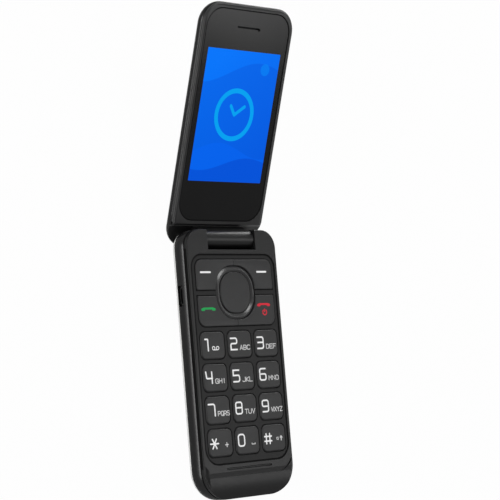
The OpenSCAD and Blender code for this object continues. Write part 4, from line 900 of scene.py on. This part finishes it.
add_piece("lid_soft_edge", bm, "edge", "lid", LID)

# Painted shade: a near-black ring round the display window, for the shadow in the gap at the
# frame's edge
WINDOW_HALF, WINDOW_LOW, WINDOW_TOP, WINDOW_R = 24.5, 7.02, 98.5, 8.5
WINDOW_STEPS, WINDOW_SHADE_W = 12, 0.5
bm = bmesh.new()
window = plan(2 * WINDOW_HALF, WINDOW_LOW, WINDOW_TOP, WINDOW_R, WINDOW_R)
seam(bm, rounded(window, WINDOW_STEPS), SEAM_LAP, WINDOW_SHADE_W, WINDOW_Z)
add_piece("window_edge_shade", bm, "hole", "lid", LID)

# Light sensor beside the earpiece
SENSOR_X, SENSOR_Y, SENSOR_R = 6.3, EAR_Y - 0.35, 0.62
SENSOR_LOW, SENSOR_HIGH = WINDOW_Z - 0.3, WINDOW_Z + 0.01
bm = bmesh.new()
spot = circle(SENSOR_X, SENSOR_Y, SENSOR_R)
capped(bm, [lifted(spot, SENSOR_LOW), lifted(spot, SENSOR_HIGH)])
add_piece("ear_sensor", bm, "hole", "lid", LID)

# ---- Floor, backdrop, lamps and camera ----
FLOOR_GREY, FLOOR_GLOW, FLOOR_GLOSS, FLOOR_HALF = 0.66, 0.97, 0.1, 3.0


def floor_look():
    """Pale to the lens and through clear parts, faint in reflections, grey to other light."""
    look = Look("floor_pale")
    look.nodes.clear()
    out = look.nodes.new("ShaderNodeOutputMaterial")
    diffuse = look.nodes.new("ShaderNodeBsdfDiffuse")
    look.feed(diffuse.inputs["Color"], grey(FLOOR_GREY))
    glow = look.nodes.new("ShaderNodeEmission")
    look.feed(glow.inputs["Strength"], 1.0)
    ray = look.nodes.new("ShaderNodeLightPath").outputs
    seen = look.math("MAXIMUM", ray["Is Camera Ray"], ray["Is Transmission Ray"])
    seen = look.math("MULTIPLY_ADD", ray["Is Glossy Ray"], FLOOR_GLOSS, seen)
    mix = look.nodes.new("ShaderNodeMixShader")
    look.feed(mix.inputs["Fac"], look.math("MULTIPLY", seen, FLOOR_GLOW))
    look.feed(mix.inputs[1], diffuse.outputs["BSDF"])
    look.feed(mix.inputs[2], glow.outputs["Emission"])
    look.feed(out.inputs["Surface"], mix.outputs["Shader"])
    return look


bm = bmesh.new()
bmesh.ops.create_grid(bm, x_segments=1, y_segments=1, size=FLOOR_HALF)
mesh = bpy.data.meshes.new("floor")
bm.to_mesh(mesh)
bm.free()
mesh.materials.append(floor_look().mat)
floor = bpy.data.objects.new("floor", mesh)
bpy.context.scene.collection.objects.link(floor)

# Backdrop: white at the horizon, greyer overhead
WORLD_HORIZON, WORLD_ZENITH, WORLD_FADE = 1.0, 0.38, 0.45
world = bpy.data.worlds.new("studio")
bpy.context.scene.world = world
world.use_nodes = True
background = world.node_tree.nodes["Background"]
w_nodes, w_links = world.node_tree.nodes, world.node_tree.links
w_coord = w_nodes.new("ShaderNodeTexCoord")
w_split = w_nodes.new("ShaderNodeSeparateXYZ")
w_links.new(w_coord.outputs["Generated"], w_split.inputs["Vector"])
w_span = w_nodes.new("ShaderNodeMapRange")
w_span.inputs["From Max"].default_value = WORLD_FADE
w_span.inputs["To Min"].default_value = WORLD_HORIZON
w_span.inputs["To Max"].default_value = WORLD_ZENITH
w_links.new(w_split.outputs["Z"], w_span.inputs["Value"])
w_links.new(w_span.outputs["Result"], background.inputs["Strength"])
background.inputs["Color"].default_value = grey(1.0)

# Name, direction from the part, distance, two sizes and brightness per area of each soft box
LAMPS = (
    ("key_lamp", (0.22, 0.48, 0.83), 1.3, 0.45, 0.45, 8.5),
    ("left_lamp", (-0.93, -0.05, 0.36), 1.0, 0.9, 0.16, 12.0),
    ("window_lamp", (0.63, -0.10, 0.77), 1.4, 0.40, 0.42, 3.8),
    ("rim_lamp", (0.69, 0.72, 0.12), 1.2, 0.8, 0.24, 9.0),
)
for name, towards, distance, size, size_y, radiance in LAMPS:
    spot = Vector(towards).normalized() * distance
    data = bpy.data.lights.new(name, "AREA")
    data.shape = "RECTANGLE"
    data.size = size
    data.size_y = size_y
    data.energy = radiance * math.pi * size * size_y
    obj = bpy.data.objects.new(name, data)
    bpy.context.scene.collection.objects.link(obj)
    obj.location = spot
    obj.rotation_euler = (-spot).to_track_quat("-Z", "Y").to_euler()

# Camera fitted to the photograph: place and axes in the base's frame, in mm from the hinge axis
CAMERA_SPOT = (-534.52, -73.881, 559.721)
CAMERA_RIGHT = (0.716074, -0.0811919, 0.6932863)
CAMERA_DOWN = (0.0034049, -0.9927941, -0.1197846)
CAMERA_AHEAD = (0.6980161, 0.0881352, -0.7106376)
FOCAL_PIXELS, IMAGE_PIXELS, FILM_W = 1801.8944, 500.0, 36.0
CLIP_START, CLIP_END = 0.05, 20.0
camera_data = bpy.data.cameras.new("camera")
camera_data.sensor_fit = "HORIZONTAL"
camera_data.sensor_width = FILM_W
camera_data.lens = FOCAL_PIXELS / IMAGE_PIXELS * FILM_W
camera_data.clip_start = CLIP_START
camera_data.clip_end = CLIP_END
camera = bpy.data.objects.new("camera", camera_data)
bpy.context.scene.collection.objects.link(camera)
turn = BASE.to_3x3()
axes = [turn @ Vector(CAMERA_RIGHT), turn @ -Vector(CAMERA_DOWN), turn @ -Vector(CAMERA_AHEAD)]
camera.matrix_world = Matrix.LocRotScale(
    BASE @ (Vector(CAMERA_SPOT) * MM), Matrix(axes).transposed().to_quaternion(), None)
bpy.context.scene.camera = camera
bpy.context.scene.view_settings.view_transform = "Standard"
